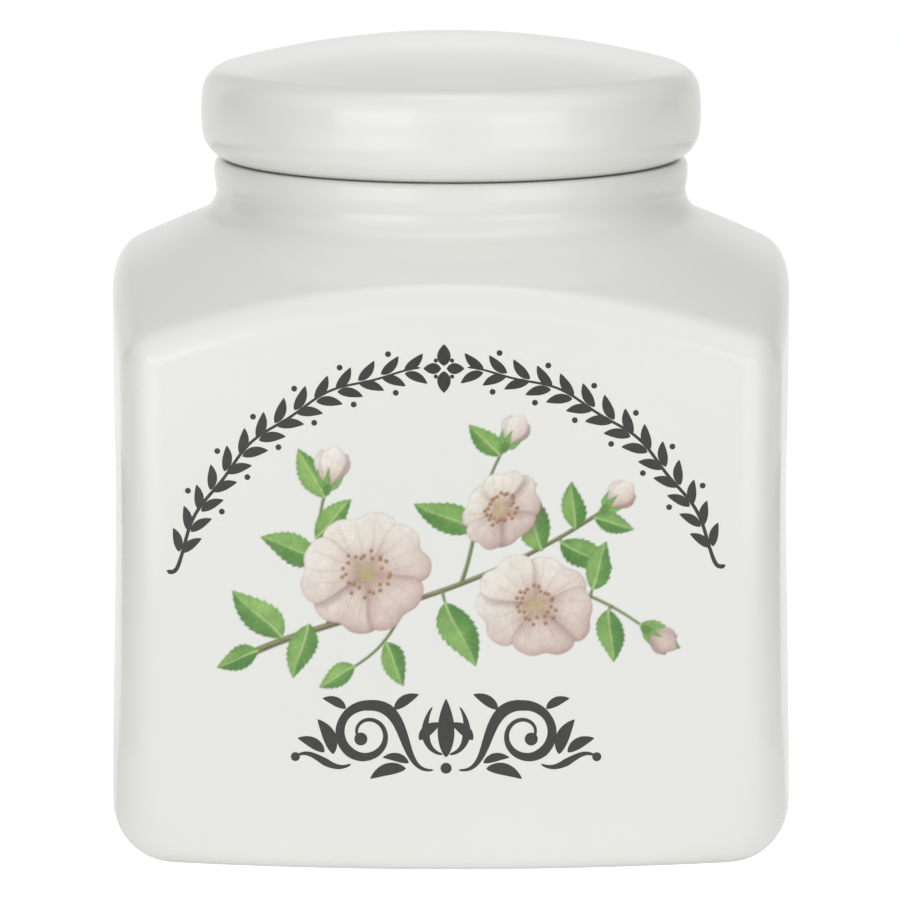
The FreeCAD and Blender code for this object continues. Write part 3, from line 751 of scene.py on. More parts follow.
def blossom(cv, at, size, turn, squeeze=0.9, tilt=0.3, petals=5, seed=0):
    rng = cv.rng
    at = np.array(at, float)
    order = [0, 2, 4, 1, 3][:petals] if petals == 5 else list(range(petals))
    for k in order:
        a = turn + k * 2 * math.pi / petals + rng.uniform(-0.06, 0.06)
        petal(cv, at, a, size * rng.uniform(0.94, 1.04), size * rng.uniform(0.98, 1.10), rng.uniform(0.05, 0.12),
              rng.uniform(-0.08, 0.08), 0.0, squeeze, tilt)
    # throat, stamens and anthers
    c, s = math.cos(tilt), math.sin(tilt)
    turnm = np.array([[c, s], [-s, c]])
    warp = turnm.T @ np.diag([1, squeeze]) @ turnm
    ring = np.array([[math.cos(a), math.sin(a)] for a in np.linspace(0, 2 * math.pi, 28, endpoint=False)])
    eye = at + (ring * size * 0.13) @ warp.T
    rows, cols, x, z = cv.window(eye, 0.8)
    d = cv.distance(eye, x, z)
    cv.lay(rows, cols, 0.8 * np.clip(0.5 + d / 0.7, 0, 1), mixed((0.66, 0.70, 0.42), (0.80, 0.80, 0.55), 0.5 + 0.5 * cv.fine[rows, cols]))
    count = 26
    for k in range(count):
        a = k * 2 * math.pi / count + rng.uniform(-0.10, 0.10)
        r1 = size * rng.uniform(0.23, 0.40)
        tip = at + (np.array([math.cos(a), math.sin(a)]) * r1) @ warp.T
        mid = at + (np.array([math.cos(a + rng.uniform(-0.15, 0.15)), math.sin(a)]) * r1 * 0.55) @ warp.T
        cv.stroke([at + (tip - at) * 0.12, mid, tip], [0.20, 0.16, 0.13], (0.80, 0.70, 0.58), 0.8, 0.09)
        cv.stroke([tip, tip + 0.01], [0.62, 0.62], (0.60, 0.44, 0.30), 0.95, 0.12)
        cv.stroke([tip + (-0.08, 0.10), tip + (-0.07, 0.10)], [0.24, 0.24], (0.86, 0.72, 0.52), 0.8, 0.10)


def leaf(cv, base, angle, length, width, curl=0.15, tone=0.0, teeth=9, flip=1.0):
    """A toothed leaf with a light rib, side veins and one darker half."""
    rng = cv.rng
    n = 30 * teeth // 3
    t = np.linspace(0, 1, n)
    half = np.sin(math.pi * t**0.82) ** 0.85 * (1 - 0.25 * t)
    half /= half.max()
    saw = (t * teeth) % 1.0
    rag = (1 - 0.13 * (1 - saw)) * (1 + 0.015 * rng.standard_normal(n).cumsum() / 4)
    rag[: max(n // 12, 1)] = 1
    up = half * rag * width / 2
    ax = np.array([math.cos(angle), math.sin(angle)])
    cr = np.array([-ax[1], ax[0]]) * flip
    bend = curl * width * np.sin(math.pi * t * 0.5) ** 2 * 2
    rib = np.array(base) + (t * length)[:, None] * ax + bend[:, None] * cr
    left = rib + up[:, None] * cr + (saw * 0.10 * length / teeth)[:, None] * ax
    right = rib - up[:, None] * cr + (saw * 0.10 * length / teeth)[:, None] * ax
    pts = np.vstack([left, right[::-1]])
    cv.shade(pts, 0.28, 0.7, (0.3, -0.45), (0.28, 0.36, 0.20))
    rows, cols, x, z = cv.window(pts, 0.5)
    d = cv.distance(pts, x, z)
    rel = np.stack([x - base[0], z - base[1]], -1)
    u = (rel @ ax) / length
    off = np.interp(u, t, bend)
    w = np.interp(u, t, np.maximum(half * width / 2, 0.15))
    v = (rel @ cr - off) / w
    fine, coarse, grain = cv.fine[rows, cols], cv.coarse[rows, cols], cv.grain[rows, cols]
    lit = np.array([-0.55, 0.83]) @ cr
    half_tone = np.tanh(v * 5) * (0.28 if lit > 0 else -0.28)
    t1 = 0.42 + tone + half_tone + 0.22 * coarse + 0.10 * fine - 0.25 * np.abs(v)
    body = mixed(LEAF, LIME, t1)
    dark = np.clip(0.45 - t1, 0, 1) * 1.2
    body = body * (1 - dark[..., None]) + np.array(DEEP) * dark[..., None]
    base_dark = np.exp(-np.clip(u, 0, 1) / 0.16) * 0.45
    body = body * (1 - base_dark[..., None]) + np.array(DEEP) * base_dark[..., None]
    # side veins slope forward
    ph = (u - 0.30 * np.abs(v) * width / length) * teeth * 2 * math.pi * 0.9
    vein = np.clip(np.cos(ph) - 0.80, 0, 1) / 0.20 * np.clip(1 - np.abs(v), 0, 1) * (np.abs(v) > 0.03)
    body = body * (1 - 0.30 * vein[..., None]) + np.array((0.74, 0.85, 0.56)) * (0.30 * vein[..., None])
    furrow = np.clip(np.cos(ph + 0.9) - 0.75, 0, 1) / 0.25 * np.clip(1.1 - np.abs(v), 0, 1)
    body = body * (1 - 0.22 * furrow[..., None]) + np.array(DEEP) * (0.22 * furrow[..., None])
    pool = np.exp(-np.maximum(d, 0) / 0.15) * 0.35
    body = body * (1 - pool[..., None]) + np.array(DEEP) * pool[..., None]
    body = body * (1 + 0.03 * grain + 0.03 * fine)[..., None]
    cv.lay(rows, cols, np.clip(0.5 + d / 0.15, 0, 1), body)
    cv.stroke(rib[: int(n * 0.95)], np.linspace(0.36, 0.10, int(n * 0.95)), (0.76, 0.86, 0.58), 0.85, 0.08)


def bud(cv, base, angle, length, width):
    rng = cv.rng
    ax = np.array([math.cos(angle), math.sin(angle)])
    pts = petal_outline(base, angle, length, width, -0.04, 0.0, rng)
    for da, shade in ((0.34, -0.05), (-0.30, -0.03), (0.0, 0.02)):
        petal(cv, np.array(base, float), angle + da, length * (1.0 if da == 0 else 0.90), width * (0.86 if da == 0 else 0.62), -0.05, 0.0, shade)
    for da in (0.62, -0.60, 0.12):
        tip = np.array(base) + length * 0.52 * np.array([math.cos(angle + da), math.sin(angle + da)])
        mid = np.array(base) + length * 0.30 * np.array([math.cos(angle + da * 1.6), math.sin(angle + da * 1.6)])
        b = bezier(base, (np.array(base) + mid) / 2, mid, tip, 12)
        cv.stroke(b, np.interp(np.linspace(0, 1, 12), [0, 0.45, 1], [0.7, 1.15, 0.12]), LEAF, 0.95, 0.09)
        cv.stroke(b[:9], np.full(9, 0.16), LIME, 0.7, 0.08)
    knob = np.array(base) - ax * 0.35
    cv.stroke([knob, knob + ax * 0.6], [1.25, 1.5], (0.40, 0.58, 0.28), 1.0, 0.12)


def petiole(cv, stems, base, angle):
    """A short stalk from the nearest stem to a leaf's base."""
    base = np.array(base, float)
    near = min(stems, key=lambda p: np.hypot(*(p - base)))
    gap = np.hypot(*(near - base))
    if gap < 0.25:
        return
    ax = np.array([math.cos(angle), math.sin(angle)])
    b = bezier(near, near + (base - near) * 0.5, base - ax * min(gap, 1.6) * 0.5, base + ax * 0.6, 14)
    cv.stroke(b, np.linspace(0.62, 0.42, 14), STEM, 1.0, 0.10)
    cv.stroke(b + (-0.07, 0.08), np.full(14, 0.16), (0.66, 0.74, 0.48), 0.6, 0.08)


def twig(cv, p0, p1, p2, p3, w0, w1, colour=STEM):
    b = bezier(p0, p1, p2, p3, 40)
    cv.stroke(b, np.linspace(w0, w1, 40), colour, 1.0, 0.12)
    cv.stroke(b + (-0.10, 0.12), np.linspace(w0, w1, 40) * 0.35, (0.66, 0.72, 0.48), 0.7, 0.10)
    cv.stroke(b + (0.10, -0.14), np.linspace(w0, w1, 40) * 0.28, (0.36, 0.33, 0.24), 0.5, 0.10)
    return b


def paint():
    cv = Canvas(11)
    # a branch that rises from lower left to upper right, with side twigs
    brown = (0.50, 0.46, 0.33)
    main = bezier((-34, 38.5), (-18, 46), (2, 47), (26.0, 63.2), 40)

    def on(x):
        return tuple(main[np.argmin(np.abs(main[:, 0] - x))])

    stems = [
        twig(cv, on(-21), (-22, 51), (-24, 58), (-21.5, 66.5), 0.75, 0.5),
        twig(cv, on(1.5), (4.5, 58), (4, 65), (9.0, 74.0), 0.75, 0.45),
        twig(cv, on(6), (18, 51), (25, 49), (33.0, 43.0), 0.75, 0.45),
        twig(cv, on(-8), (-10, 42), (-12, 39), (-17.0, 36.0), 0.6, 0.4),
        twig(cv, (-34, 38.5), (-18, 46), (2, 47), (26.0, 63.2), 1.25, 0.65, brown),
    ]
    stems = [p for line in stems for p in line]
    d = math.radians
    # leaves behind
    for b, a, l, w, c, t, f in (
        ((-33.2, 38.8), 196, 7.5, 4.4, 0.10, -0.05, 1),
        ((-29.0, 41.2), 128, 11.5, 6.2, 0.14, 0.05, 1),
        ((-24.5, 43.4), 262, 9.5, 5.4, 0.12, -0.08, -1),
        ((-22.6, 55.0), 168, 10.5, 5.8, 0.12, 0.10, -1),
        ((-23.2, 58.5), 40, 9.0, 5.0, 0.12, 0.00, 1),
        ((-21.6, 65.5), 112, 9.5, 5.2, 0.10, 0.12, 1),
        ((-1.0, 47.3), 288, 12.0, 6.6, 0.12, -0.02, 1),
        ((4.4, 60.0), 150, 11.5, 6.2, 0.12, 0.05, 1),
        ((5.4, 65.5), 22, 9.5, 5.2, 0.12, -0.03, -1),
        ((8.4, 72.8), 128, 7.5, 4.2, 0.10, 0.10, 1),
        ((15.6, 56.4), 114, 11.0, 6.0, 0.12, 0.02, -1),
        ((18.8, 57.8), 326, 10.0, 5.4, 0.10, -0.06, 1),
        ((21.2, 60.2), 86, 8.0, 4.6, 0.12, 0.10, 1),
        ((24.6, 62.0), 348, 7.0, 4.0, 0.08, 0.04, -1),
        ((24.2, 49.6), 66, 8.5, 4.8, 0.12, 0.06, 1),
        ((27.0, 46.0), 268, 9.0, 5.0, 0.12, -0.06, 1),
        ((32.5, 43.4), 335, 8.0, 4.4, 0.10, 0.06, -1),
        ((-16.6, 36.3), 205, 7.0, 4.0, 0.10, 0.08, 1),
        ((-11.2, 40.4), 300, 8.0, 4.5, 0.12, 0.00, -1),
    ):
        petiole(cv, stems, b, d(a))
        leaf(cv, b, d(a), l, w, c, t, 8 if l < 9 else 10, f)
    # buds
    bud(cv, (-21.2, 66.8), d(78), 7.6, 5.2)
    bud(cv, (9.2, 74.2), d(60), 6.2, 4.4)
    bud(cv, (26.3, 63.5), d(40), 6.2, 4.4)
    bud(cv, (33.4, 42.6), d(-35), 6.0, 4.2)
    # blossoms
    blossom(cv, (-14.5, 52.5), 11.6, d(100), 0.92, 0.5)
    blossom(cv, (14.5, 47.0), 10.6, d(60), 0.86, -0.4)
    blossom(cv, (8.5, 63.5), 8.0, d(20), 0.80, 0.9)
    return cv


# ---------------------------------------------------------------- line ornament
def resampled(path, step):
    path = np.asarray(path, float)
    s = np.concatenate([[0], np.cumsum(np.hypot(*np.diff(path, axis=0).T))])
    n = max(int(round(s[-1] / step)), 3) + 1
    t = np.linspace(0, s[-1], n)
    return np.stack([np.interp(t, s, path[:, 0]), np.interp(t, s, path[:, 1])], -1), t / s[-1]


def ribbon(path, width, step=0.35):
    """Points on either side of a path, for a width that changes along it."""
    p, t = resampled(path, step)
    d = np.gradient(p, axis=0)
    d /= np.hypot(d[:, 0], d[:, 1])[:, None]
    side = np.stack([-d[:, 1], d[:, 0]], -1)
    half = np.maximum(width(t), 0.015)[:, None] / 2
    return p + side * half, p - side * half


def dot(at, radius, n=15):
    t = np.linspace(0, 1, n)
    u = -np.cos(math.pi * t)
    path = np.array(at) + np.stack([u * radius, 0 * u], -1)
    half = np.sqrt(np.maximum(1 - u * u, 0)) * radius
    half = np.maximum(half, 0.01)[:, None]
    return path + half * (0, 1), path - half * (0, 1)


def frond(base, angle, length, width, curl=0.0):
    """A plain pointed leaf."""
    t = np.linspace(0, 1, 22)
    ax = np.array([math.cos(angle), math.sin(angle)])
    cr = np.array([-ax[1], ax[0]])
    path = np.array(base) + (t * length)[:, None] * ax + (curl * length * np.sin(math.pi * t))[:, None] * cr
    return ribbon(path, lambda s: width * np.sin(math.pi * np.clip(s, 0, 1) ** 0.85) ** 0.8, 0.3)


def swell(*stops):
    pos = [s[0] for s in stops]
    val = [s[1] for s in stops]
    return lambda t: np.interp(t, pos, val)


def rounded(width, length, ends=(True, True)):
    """A width rule with round ends."""

    def rule(t):
        w = width(t)
        r = w / 2 / length
        k = np.ones_like(t)
        if ends[0]:
            k = np.where(t < r, np.sqrt(np.clip(1 - (1 - t / np.maximum(r, 1e-9)) ** 2, 0, 1)), k)
        if ends[1]:
            u = 1 - t
            k = np.where(u < r, k * np.sqrt(np.clip(1 - (1 - u / np.maximum(r, 1e-9)) ** 2, 0, 1)), k)
        return w * k

    return rule


def length_of(path):
    path = np.asarray(path)
    return float(np.hypot(*np.diff(path, axis=0).T).sum())


def garland():
    """An arch of laurel: a wavy stem each side with paired leaves and berries, and a rosette on top."""
    parts = []
    c, radius, top = np.array([-0.7, 39.4]), 48.5, 90.6

    def at(a, r):
        q = math.radians(a)
        return c + r * np.array([math.cos(q), math.sin(q)])

    for s in (-1, 1):
        offs = np.linspace(4.6, 71.5, 150)
        stem = np.array([at(top + s * o, radius + 0.35 * math.sin(o / 4.75 * math.pi / 2)) for o in offs])
        # the stem ends in a small hook
        end = stem[-1]
        d = (stem[-1] - stem[-4]) / np.hypot(*(stem[-1] - stem[-4]))
        n = np.array([-d[1], d[0]]) * s
        hook = bezier(end, end + d * 1.6, end + d * 2.6 - n * 0.2, end + d * 2.3 - n * 1.7, 14)
        path = np.vstack([stem, hook[1:]])
        L = length_of(path)
        parts.append(("stem", *ribbon(path, rounded(swell((0, 0.34), (0.5, 0.50), (0.93, 0.62), (1, 0.80)), L), 0.5)))
        for k, o in enumerate(np.arange(8.0, 71.0, 4.75)):
            base = at(top + s * o, radius)
            tangent = math.radians(top + s * o - s * 90)  # towards the top
            size = 1.0 - 0.10 * abs(o - 38) / 32
            for side in (-1, 1):
                a = tangent + side * math.radians(33)
                off = 0.30 * np.array([math.cos(tangent + side * math.pi / 2), math.sin(tangent + side * math.pi / 2)])
                parts.append(("leaf", *frond(base + off, a, 4.7 * size, 1.75 * size, -0.07 * side)))
            if k % 2 == 1 and o < 66:
                for r in (radius + 3.45, radius - 3.35):
                    parts.append(("berry", *dot(at(top + s * (o - 2.2), r), 0.50)))
    apex = at(top, radius)
    for a, l, w in ((90, 4.2, 2.3), (-90, 4.2, 2.3), (0, 3.5, 1.9), (180, 3.5, 1.9)):
        q = math.radians(a)
        parts.append(("rose", *frond(apex + 0.45 * np.array([math.cos(q), math.sin(q)]), q, l - 0.45, w)))
    for a in (45, 135, 225, 315):
        q = math.radians(a)
        parts.append(("bead", *dot(apex + 1.95 * np.array([math.cos(q), math.sin(q)]), 0.36)))
    return parts


def scrolls():
    """A broad ornament of mirrored scrolls round an upright bud."""
    parts = []
    c = np.array([-0.85, 23.9])
    for s in (-1, 1):

        def m(p):
            p = np.atleast_2d(np.asarray(p, float))
            return c + p * np.array([s, 1])

        # main scroll: a sweep up from the middle that winds into a curl
        lead = bezier((2.1, -5.6), (8.4, -6.6), (5.6, 6.2), (13.2, 5.6), 40)
        turn = np.radians(np.linspace(96, -400, 90))
        rad = np.interp(np.linspace(0, 1, 90), [0, 0.35, 1], [5.0, 4.1, 1.35])
        curl = np.stack([13.6 + rad * np.cos(turn), 0.62 + rad * np.sin(turn)], -1)
        join = lead[-1] - curl[0]
        curl = curl + join * np.linspace(1, 0, 90)[:, None]
        path = np.vstack([lead[:-1], curl])
        L = length_of(path)
        w = rounded(swell((0, 0.30), (0.16, 1.50), (0.30, 2.10), (0.48, 1.45), (0.62, 1.75), (0.80, 0.85), (1, 0.45)), L)
        parts.append(("main", *ribbon(m(path), w, 0.4)))
        tip = curl[-1]
        parts.append(("ball", *dot(m(tip)[0], 1.12)))
        # outer sweep, with leaves
        sweep = bezier((16.3, -4.6), (20.2, -6.9), (22.6, -1.0), (25.9, -3.4), 40)
        L = length_of(sweep)
        parts.append(("sweep", *ribbon(m(sweep), rounded(swell((0, 0.30), (0.45, 1.35), (1, 0.30)), L), 0.4)))
        parts.append(("ball", *dot(m((25.9, -3.4))[0], 0.78)))

        def lf(base, deg, length, width, curl_):
            q = math.radians(deg)
            if s < 0:
                q = math.pi - q
            parts.append(("leaf", *frond(m(base)[0], q, length, width, curl_ * s)))

        lf((19.4, -2.9), 66, 6.6, 2.3, 0.10)
        lf((20.9, -2.6), 28, 5.2, 1.9, 0.10)
        lf((4.6, -0.4), 142, 4.8, 1.9, -0.10)
        lf((6.9, -5.4), -16, 6.4, 2.1, 0.12)
        lf((6.4, -4.4), 12, 4.6, 1.5, 0.12)
        lf((8.9, 4.9), 148, 5.0, 1.8, -0.08)
        lf((17.2, 5.0), 24, 4.4, 1.6, 0.10)
        # petals beside the bud
        petal = bezier((0.55, -2.9), (4.1, -2.4), (4.3, 2.6), (2.3, 5.4), 30)
        L = length_of(petal)
        parts.append(("petal", *ribbon(m(petal), rounded(swell((0, 0.35), (0.5, 1.45), (1, 0.20)), L), 0.35)))
    parts.append(("bud", *frond(c + (0, -3.4), math.radians(90), 10.2, 2.9)))
    parts.append(("ball", *dot(c + (0, -5.3), 0.95)))
    return parts

# ------------------------------------------------------------------ the print, laid on the front face
def front(x, z, lift):
    """The front face at (x, z), raised along its normal."""
    x, z = np.broadcast_arrays(np.asarray(x, float), np.asarray(z, float))
    half = half_of(z)
    span = half - 0.5 * corner_of(z)
    bow = bow_of(z)
    big = (span * span + bow * bow) / (2 * bow)
    off = half - big
    ny = np.sqrt(big * big - x * x) / big
    nx = x / big
    return np.stack([x + nx * lift, -(off + big * ny) - ny * lift, z], -1)


def crisp(ob, smooth):
    """Faces turned outward, smooth only where asked, with sharp edges round those."""
    bm = bmesh.new()
    bm.from_mesh(ob.data)
    bmesh.ops.recalc_face_normals(bm, faces=bm.faces)
    for f, s in zip(bm.faces, smooth):
        f.smooth = bool(s)
    for e in bm.edges:
        e.smooth = all(f.smooth for f in e.link_faces)
    bm.to_mesh(ob.data)
    bm.free()


def print_lines(parts):
    """Charcoal strips with a flat smooth top, let into the glaze."""
    verts, faces, smooth, at = [], [], [], 0
    heights = {"stem": 0.022, "main": 0.022, "leaf": 0.028, "rose": 0.028, "petal": 0.025, "sweep": 0.025}
    for kind, left, right in parts:
        top = heights.get(kind, 0.032)
        n = len(left)
        for pts, lift in ((left, top), (right, top), (left, -0.2), (right, -0.2)):
            verts.append(front(pts[:, 0], pts[:, 1], lift))
        a, b, c, d = (at + k * n for k in range(4))
        for i in range(n - 1):
            j = i + 1
            faces += [(a + i, b + i, b + j, a + j), (c + i, c + j, d + j, d + i)]
            faces += [(a + i, a + j, c + j, c + i), (b + i, d + i, d + j, b + j)]
            smooth += [True, False, False, False]
        faces += [(a, c, d, b), (a + n - 1, b + n - 1, d + n - 1, c + n - 1)]
        smooth += [False, False]
        at += 4 * n
    ob = mesh_object("print_lines", np.vstack(verts) * MM, faces, [INK_MAT])
    crisp(ob, smooth)
    return ob


def linear(c):
    return np.where(c <= 0.04045, c / 12.92, ((np.maximum(c, 0) + 0.055) / 1.055) ** 2.4)


def print_colours():
    """A thin sheet on the face wherever there is paint. Its corners carry the colours."""
    cv = paint()
    lay = np.concatenate([linear(np.clip(cv.rgb, 0, 1)) * cv.alpha[..., None], cv.alpha[..., None]], -1)
    gx, gz = NX // 2 + 1, NZ // 2 + 1
    pad = np.pad(lay, ((1, 1), (1, 1), (0, 0)))[: 2 * gz, : 2 * gx]
    node = (pad[0::2, 0::2] + pad[1::2, 0::2] + pad[0::2, 1::2] + pad[1::2, 1::2]) / 4
    hit = node[..., 3] > 0.004
    cell = hit[:-1, :-1] | hit[1:, :-1] | hit[:-1, 1:] | hit[1:, 1:]
    # no two cells may meet at a corner only
    for _ in range(40):
        p, q = cell[:-1, :-1] & cell[1:, 1:], cell[1:, :-1] & cell[:-1, 1:]
        one = p & ~cell[1:, :-1] & ~cell[:-1, 1:]
        two = q & ~cell[:-1, :-1] & ~cell[1:, 1:]
        if not (one.any() or two.any()):
            break
        cell[1:, :-1] |= one
        cell[:-1, :-1] |= two
    used = np.zeros((gz, gx), bool)
    for s in ((0, 0), (0, 1), (1, 0), (1, 1)):
        used[s[0] : gz - 1 + s[0], s[1] : gx - 1 + s[1]] |= cell
    index = np.full((gz, gx), -1)
    index[used] = np.arange(used.sum())
    rows, cols = np.nonzero(used)
    x, z = X0 + cols * 2 * PX, Z0 + rows * 2 * PX
    count = len(rows)
    verts = np.vstack([front(x, z, 0.018), front(x, z, -0.2)]) * MM
    j, i = np.nonzero(cell)
    a, b, c, d = index[j, i], index[j, i + 1], index[j + 1, i + 1], index[j + 1, i]
    top = np.stack([a, b, c, d], -1)
    low = np.stack([d, c, b, a], -1) + count
    full = np.pad(cell, 1)
    sides = []
    for (dj, di), (p, q) in {(-1, 0): (a, b), (0, 1): (b, c), (1, 0): (c, d), (0, -1): (d, a)}.items():
        edge = ~full[j + 1 + dj, i + 1 + di]
        sides.append(np.stack([q, p, p + count, q + count], -1)[edge])
    sides = np.vstack(sides)
    faces = np.vstack([top, low, sides])
    ob = mesh_object("print_colours", verts, faces, [PAINT_MAT])
    me = ob.data
    crisp(ob, np.arange(len(faces)) < len(top))
    tint = node[rows, cols] * np.array([0.86, 0.86, 0.86, 1.0])
    layer = me.color_attributes.new("paint", "FLOAT_COLOR", "POINT")
    layer.data.foreach_set("color", np.vstack([tint, tint]).astype(np.float32).ravel())
    me.update()
    return ob


for ob in (print_lines(garland() + scrolls()), print_colours()):
    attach(ob, "jar")

# ------------------------------------------------------------------ studio
FLOOR_SEEN = 0.88
floor_mat = Nodes("pale_floor")
ftone = floor_mat.ramp(floor_mat.noise(3.0, 2.0, 0.5), [(0.3, (0.84, 0.84, 0.84)), (0.7, (0.86, 0.86, 0.86))])
# painted dark reflection: glossy rays see the floor's colour and glow fade to dark to the left and right, as black side
# flags would make it
floor_path = floor_mat.add("ShaderNodeLightPath")
floor_at = floor_mat.add("ShaderNodeSeparateXYZ")
floor_mat.link(floor_mat.coords(), floor_at.inputs[0])
aside = floor_mat.add("ShaderNodeMath", operation="ABSOLUTE")
floor_mat.link(floor_at.outputs["X"], aside.inputs[0])
fade = floor_mat.span(aside.outputs[0], 0.14, 0.42, 1.0, 0.0)
glossy = floor_path.outputs["Is Glossy Ray"]
fbase = floor_mat.mix(glossy, ftone, floor_mat.mix(fade, (0.04, 0.04, 0.04), ftone))
fglow = floor_mat.mix(glossy, (1.0, 1.0, 1.0), floor_mat.mix(fade, (0.1, 0.1, 0.1), (1.0, 1.0, 1.0)))
floor_mat.link(fbase, floor_mat.bsdf.inputs["Base Color"])
floor_mat.bsdf.inputs["Roughness"].default_value = 0.7
floor_mat.link(fglow, floor_mat.bsdf.inputs["Emission Color"])
# painted glow: the floor glows at 0.238 for all rays but the camera's, which lights the jar from below, and at
# FLOOR_SEEN for the camera, so to the camera it shows near white, which hides most of the jar's shadow on it
floor_seen = floor_path.outputs["Is Camera Ray"]
floor_mat.link(floor_mat.span(floor_seen, 0.0, 1.0, 0.238, FLOOR_SEEN), floor_mat.bsdf.inputs["Emission Strength"])
bpy.ops.mesh.primitive_circle_add(vertices=128, radius=0.45, fill_type="NGON", location=(0, 0, 0))
floor_ob = bpy.context.object
floor_ob.name = "studio_floor"
floor_ob.data.materials.append(floor_mat.mat)

# brightness of the room by elevation and azimuth: 0 is the front, positive to the right
AROUND = (
    (-12, ((-180, 0.91), (-150, 0.97), (-120, 0.88), (-90, 0), (-60, 1.18), (-30, 1.84), (0, 0.67), (30, 1.42), (60, 1.22), (90, 0), (120, 0.77), (150, 0.77), (180, 0.91))),
    (0, ((-180, 0.82), (-160, 0.95), (-140, 0.88), (-120, 0.07), (-100, 0), (-80, 0), (-60, 0.27), (-40, 1.08), (-20, 0.86), (0, 0.32), (20, 0.71), (40, 0.84), (60, 0.48), (80, 0), (100, 0), (120, 0.02), (140, 0.71), (160, 0.87), (180, 0.82))),
    (15, ((-180, 1.18), (-160, 0.72), (-140, 0.97), (-120, 0.01), (-100, 0), (-80, 0), (-60, 0.59), (-40, 1.06), (-20, 1.12), (0, 0.53), (20, 0.59), (40, 0.67), (60, 0.36), (80, 0), (100, 0), (120, 0.07), (140, 0.36), (160, 0.74), (180, 1.18))),
    (32, ((-180, 0.86), (-160, 0.54), (-140, 0.34), (-120, 0.18), (-100, 0.38), (-80, 0.62), (-60, 1.03), (-40, 1.26), (-20, 0.83), (0, 0.56), (20, 0.63), (40, 1.07), (60, 1.22), (80, 0.71), (100, 0.28), (120, 0.26), (140, 0.45), (160, 0.47), (180, 0.86))),
    (52, ((-180, 0.28), (-150, 0.46), (-120, 0.13), (-90, 0.72), (-60, 0.97), (-30, 0.43), (0, 0.54), (30, 0.96), (60, 1.37), (90, 1.13), (120, 0.44), (150, 0.57), (180, 0.28))),
    (71, ((-180, 0.4), (-120, 0.72), (-60, 1.06), (0, 1.01), (60, 1.5), (120, 0.61), (180, 0.4))),
)
# soft boxes in front: azimuths, elevations, brightness
BOXES = (
    (-55, -17, -14, 0, 0.45),
    (-55, -17, 0, 18, 1.28),
    (-55, -17, 18, 36, 0.28),
    (19, 54.5, -14, 0, 0.6),
    (19, 54.5, 0, 18, 1.11),
    (19, 54.5, 18, 36, 0.05),
    (19, 54.5, 36, 60, 0.06),
    (-17, 19, 0, 18, 0.3),
)
TOP_LIGHT = 2.12

world = bpy.data.worlds.new("studio")
scene.world = world
world.use_nodes = True
nt = world.node_tree
nt.nodes.clear()


def sky(kind, *inputs, **values):
    n = nt.nodes.new(kind)
    for k, v in values.items():
        setattr(n, k, v)
    for s, v in zip(n.inputs, inputs):
        if hasattr(v, "links"):
            nt.links.new(v, s)
        elif v is not None:
            s.default_value = v
    return n.outputs[0]


def between(value, a, b, c=0.0, d=1.0):
    n = nt.nodes.new("ShaderNodeMapRange")
    for k, v in zip(("From Min", "From Max", "To Min", "To Max"), (a, b, c, d)):
        n.inputs[k].default_value = v
    nt.links.new(value, n.inputs["Value"])
    return n.outputs["Result"]


def times(*values):
    out = values[0]
    for v in values[1:]:
        out = sky("ShaderNodeMath", out, v, operation="MULTIPLY")
    return out


def ring_light(table, around):
    n = nt.nodes.new("ShaderNodeValToRGB")
    e = n.color_ramp.elements
    stops = [((a + 180) / 360, (v / 4,) * 3 + (1,)) for a, v in table]
    e[0].position, e[0].color = stops[0]
    e[1].position, e[1].color = stops[-1]
    for p, c in stops[1:-1]:
        e.new(p).color = c
    nt.links.new(around, n.inputs["Fac"])
    return sky("ShaderNodeMath", n.outputs["Color"], 4.0, operation="MULTIPLY")


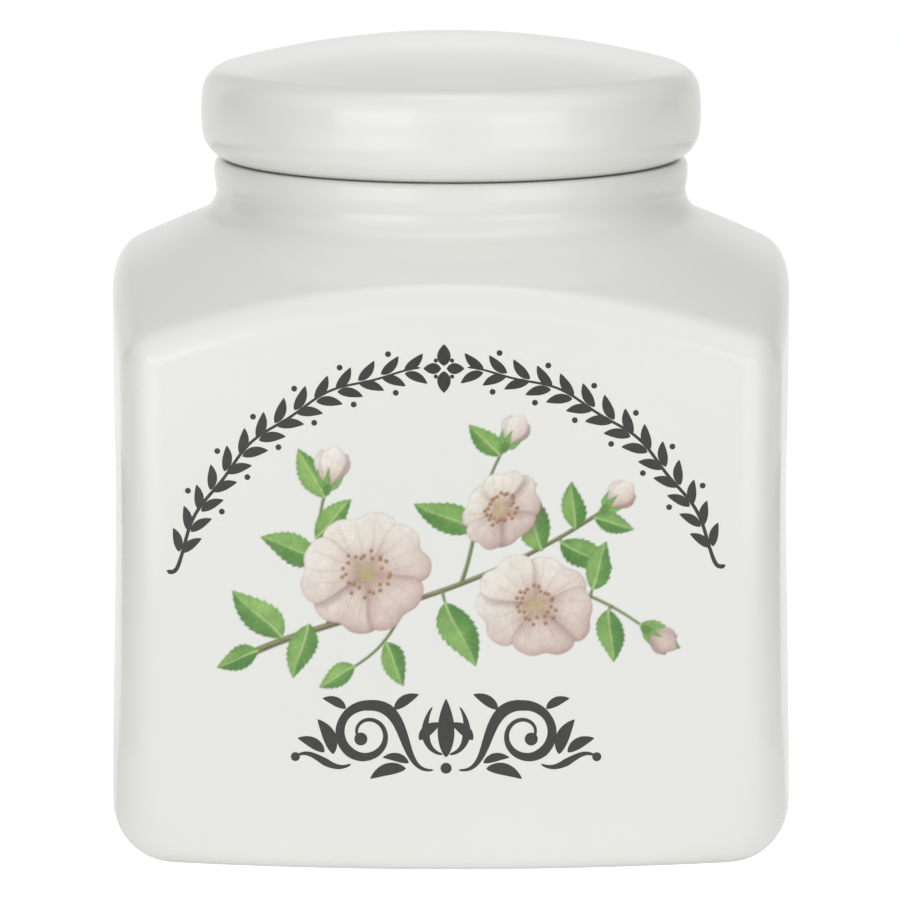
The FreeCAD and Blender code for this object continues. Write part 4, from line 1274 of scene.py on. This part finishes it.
sep = nt.nodes.new("ShaderNodeSeparateXYZ")
tc = nt.nodes.new("ShaderNodeTexCoord")
nt.links.new(tc.outputs["Generated"], sep.inputs[0])
minus_y = sky("ShaderNodeMath", sep.outputs["Y"], -1.0, operation="MULTIPLY")
azimuth = sky("ShaderNodeMath", sep.outputs["X"], minus_y, operation="ARCTAN2")
azimuth = sky("ShaderNodeMath", azimuth, 180 / math.pi, operation="MULTIPLY")
elevation = sky("ShaderNodeMath", sep.outputs["Z"], operation="ARCSINE")
elevation = sky("ShaderNodeMath", elevation, 180 / math.pi, operation="MULTIPLY")
around = sky("ShaderNodeMath", azimuth, 180.0, operation="ADD")
around = sky("ShaderNodeMath", around, 360.0, operation="DIVIDE")
light = None
for e, table in ((-24, None),) + AROUND + ((90, None),):
    value = ring_light(table, around) if table else (TOP_LIGHT if e > 0 else 0.0)
    if light is None:
        light = sky("ShaderNodeMath", value, 0.0, operation="ADD")
    else:
        step = between(elevation, last, e)
        rest = sky("ShaderNodeMath", 1.0, step, operation="SUBTRACT")
        light = sky("ShaderNodeMath", times(light, rest), times(step, value), operation="ADD")
    last = e
for a0, a1, e0, e1, power in BOXES:
    box = times(
        between(azimuth, a0 - 1.25, a0 + 1.25),
        between(azimuth, a1 - 1.25, a1 + 1.25, 1.0, 0.0),
        between(elevation, e0 - 1.25, e0 + 1.25),
        between(elevation, e1 - 1.25, e1 + 1.25, 1.0, 0.0),
        power,
    )
    light = sky("ShaderNodeMath", light, box, operation="ADD")
bg_light = nt.nodes.new("ShaderNodeBackground")
bg_light.inputs["Color"].default_value = (1.0, 1.0, 1.0, 1)
nt.links.new(light, bg_light.inputs["Strength"])
bg_seen = nt.nodes.new("ShaderNodeBackground")
bg_seen.inputs["Color"].default_value = (1, 1, 1, 1)
bg_seen.inputs["Strength"].default_value = 1.02
path = nt.nodes.new("ShaderNodeLightPath")
pick = nt.nodes.new("ShaderNodeMixShader")
wout = nt.nodes.new("ShaderNodeOutputWorld")
nt.links.new(path.outputs["Is Camera Ray"], pick.inputs[0])
nt.links.new(bg_light.outputs[0], pick.inputs[1])
nt.links.new(bg_seen.outputs[0], pick.inputs[2])
nt.links.new(pick.outputs[0], wout.inputs["Surface"])

# ------------------------------------------------------------------ camera
cam_data = bpy.data.cameras.new("camera")
cam = bpy.data.objects.new("camera", cam_data)
scene.collection.objects.link(cam)
scene.camera = cam
cam_data.sensor_width = 36.0
cam_data.lens = 341.0
cam_data.dof.use_dof = False
cam_data.clip_start, cam_data.clip_end = 0.1, 60.0
cam.location = (0.0, -1.5, 0.2924)
aim = Vector((-0.00018, 0.0, 0.0648))
cam.rotation_euler = (aim - cam.location).to_track_quat("-Z", "Y").to_euler()

scene.view_settings.view_transform = "Standard"
scene.view_settings.look = "None"
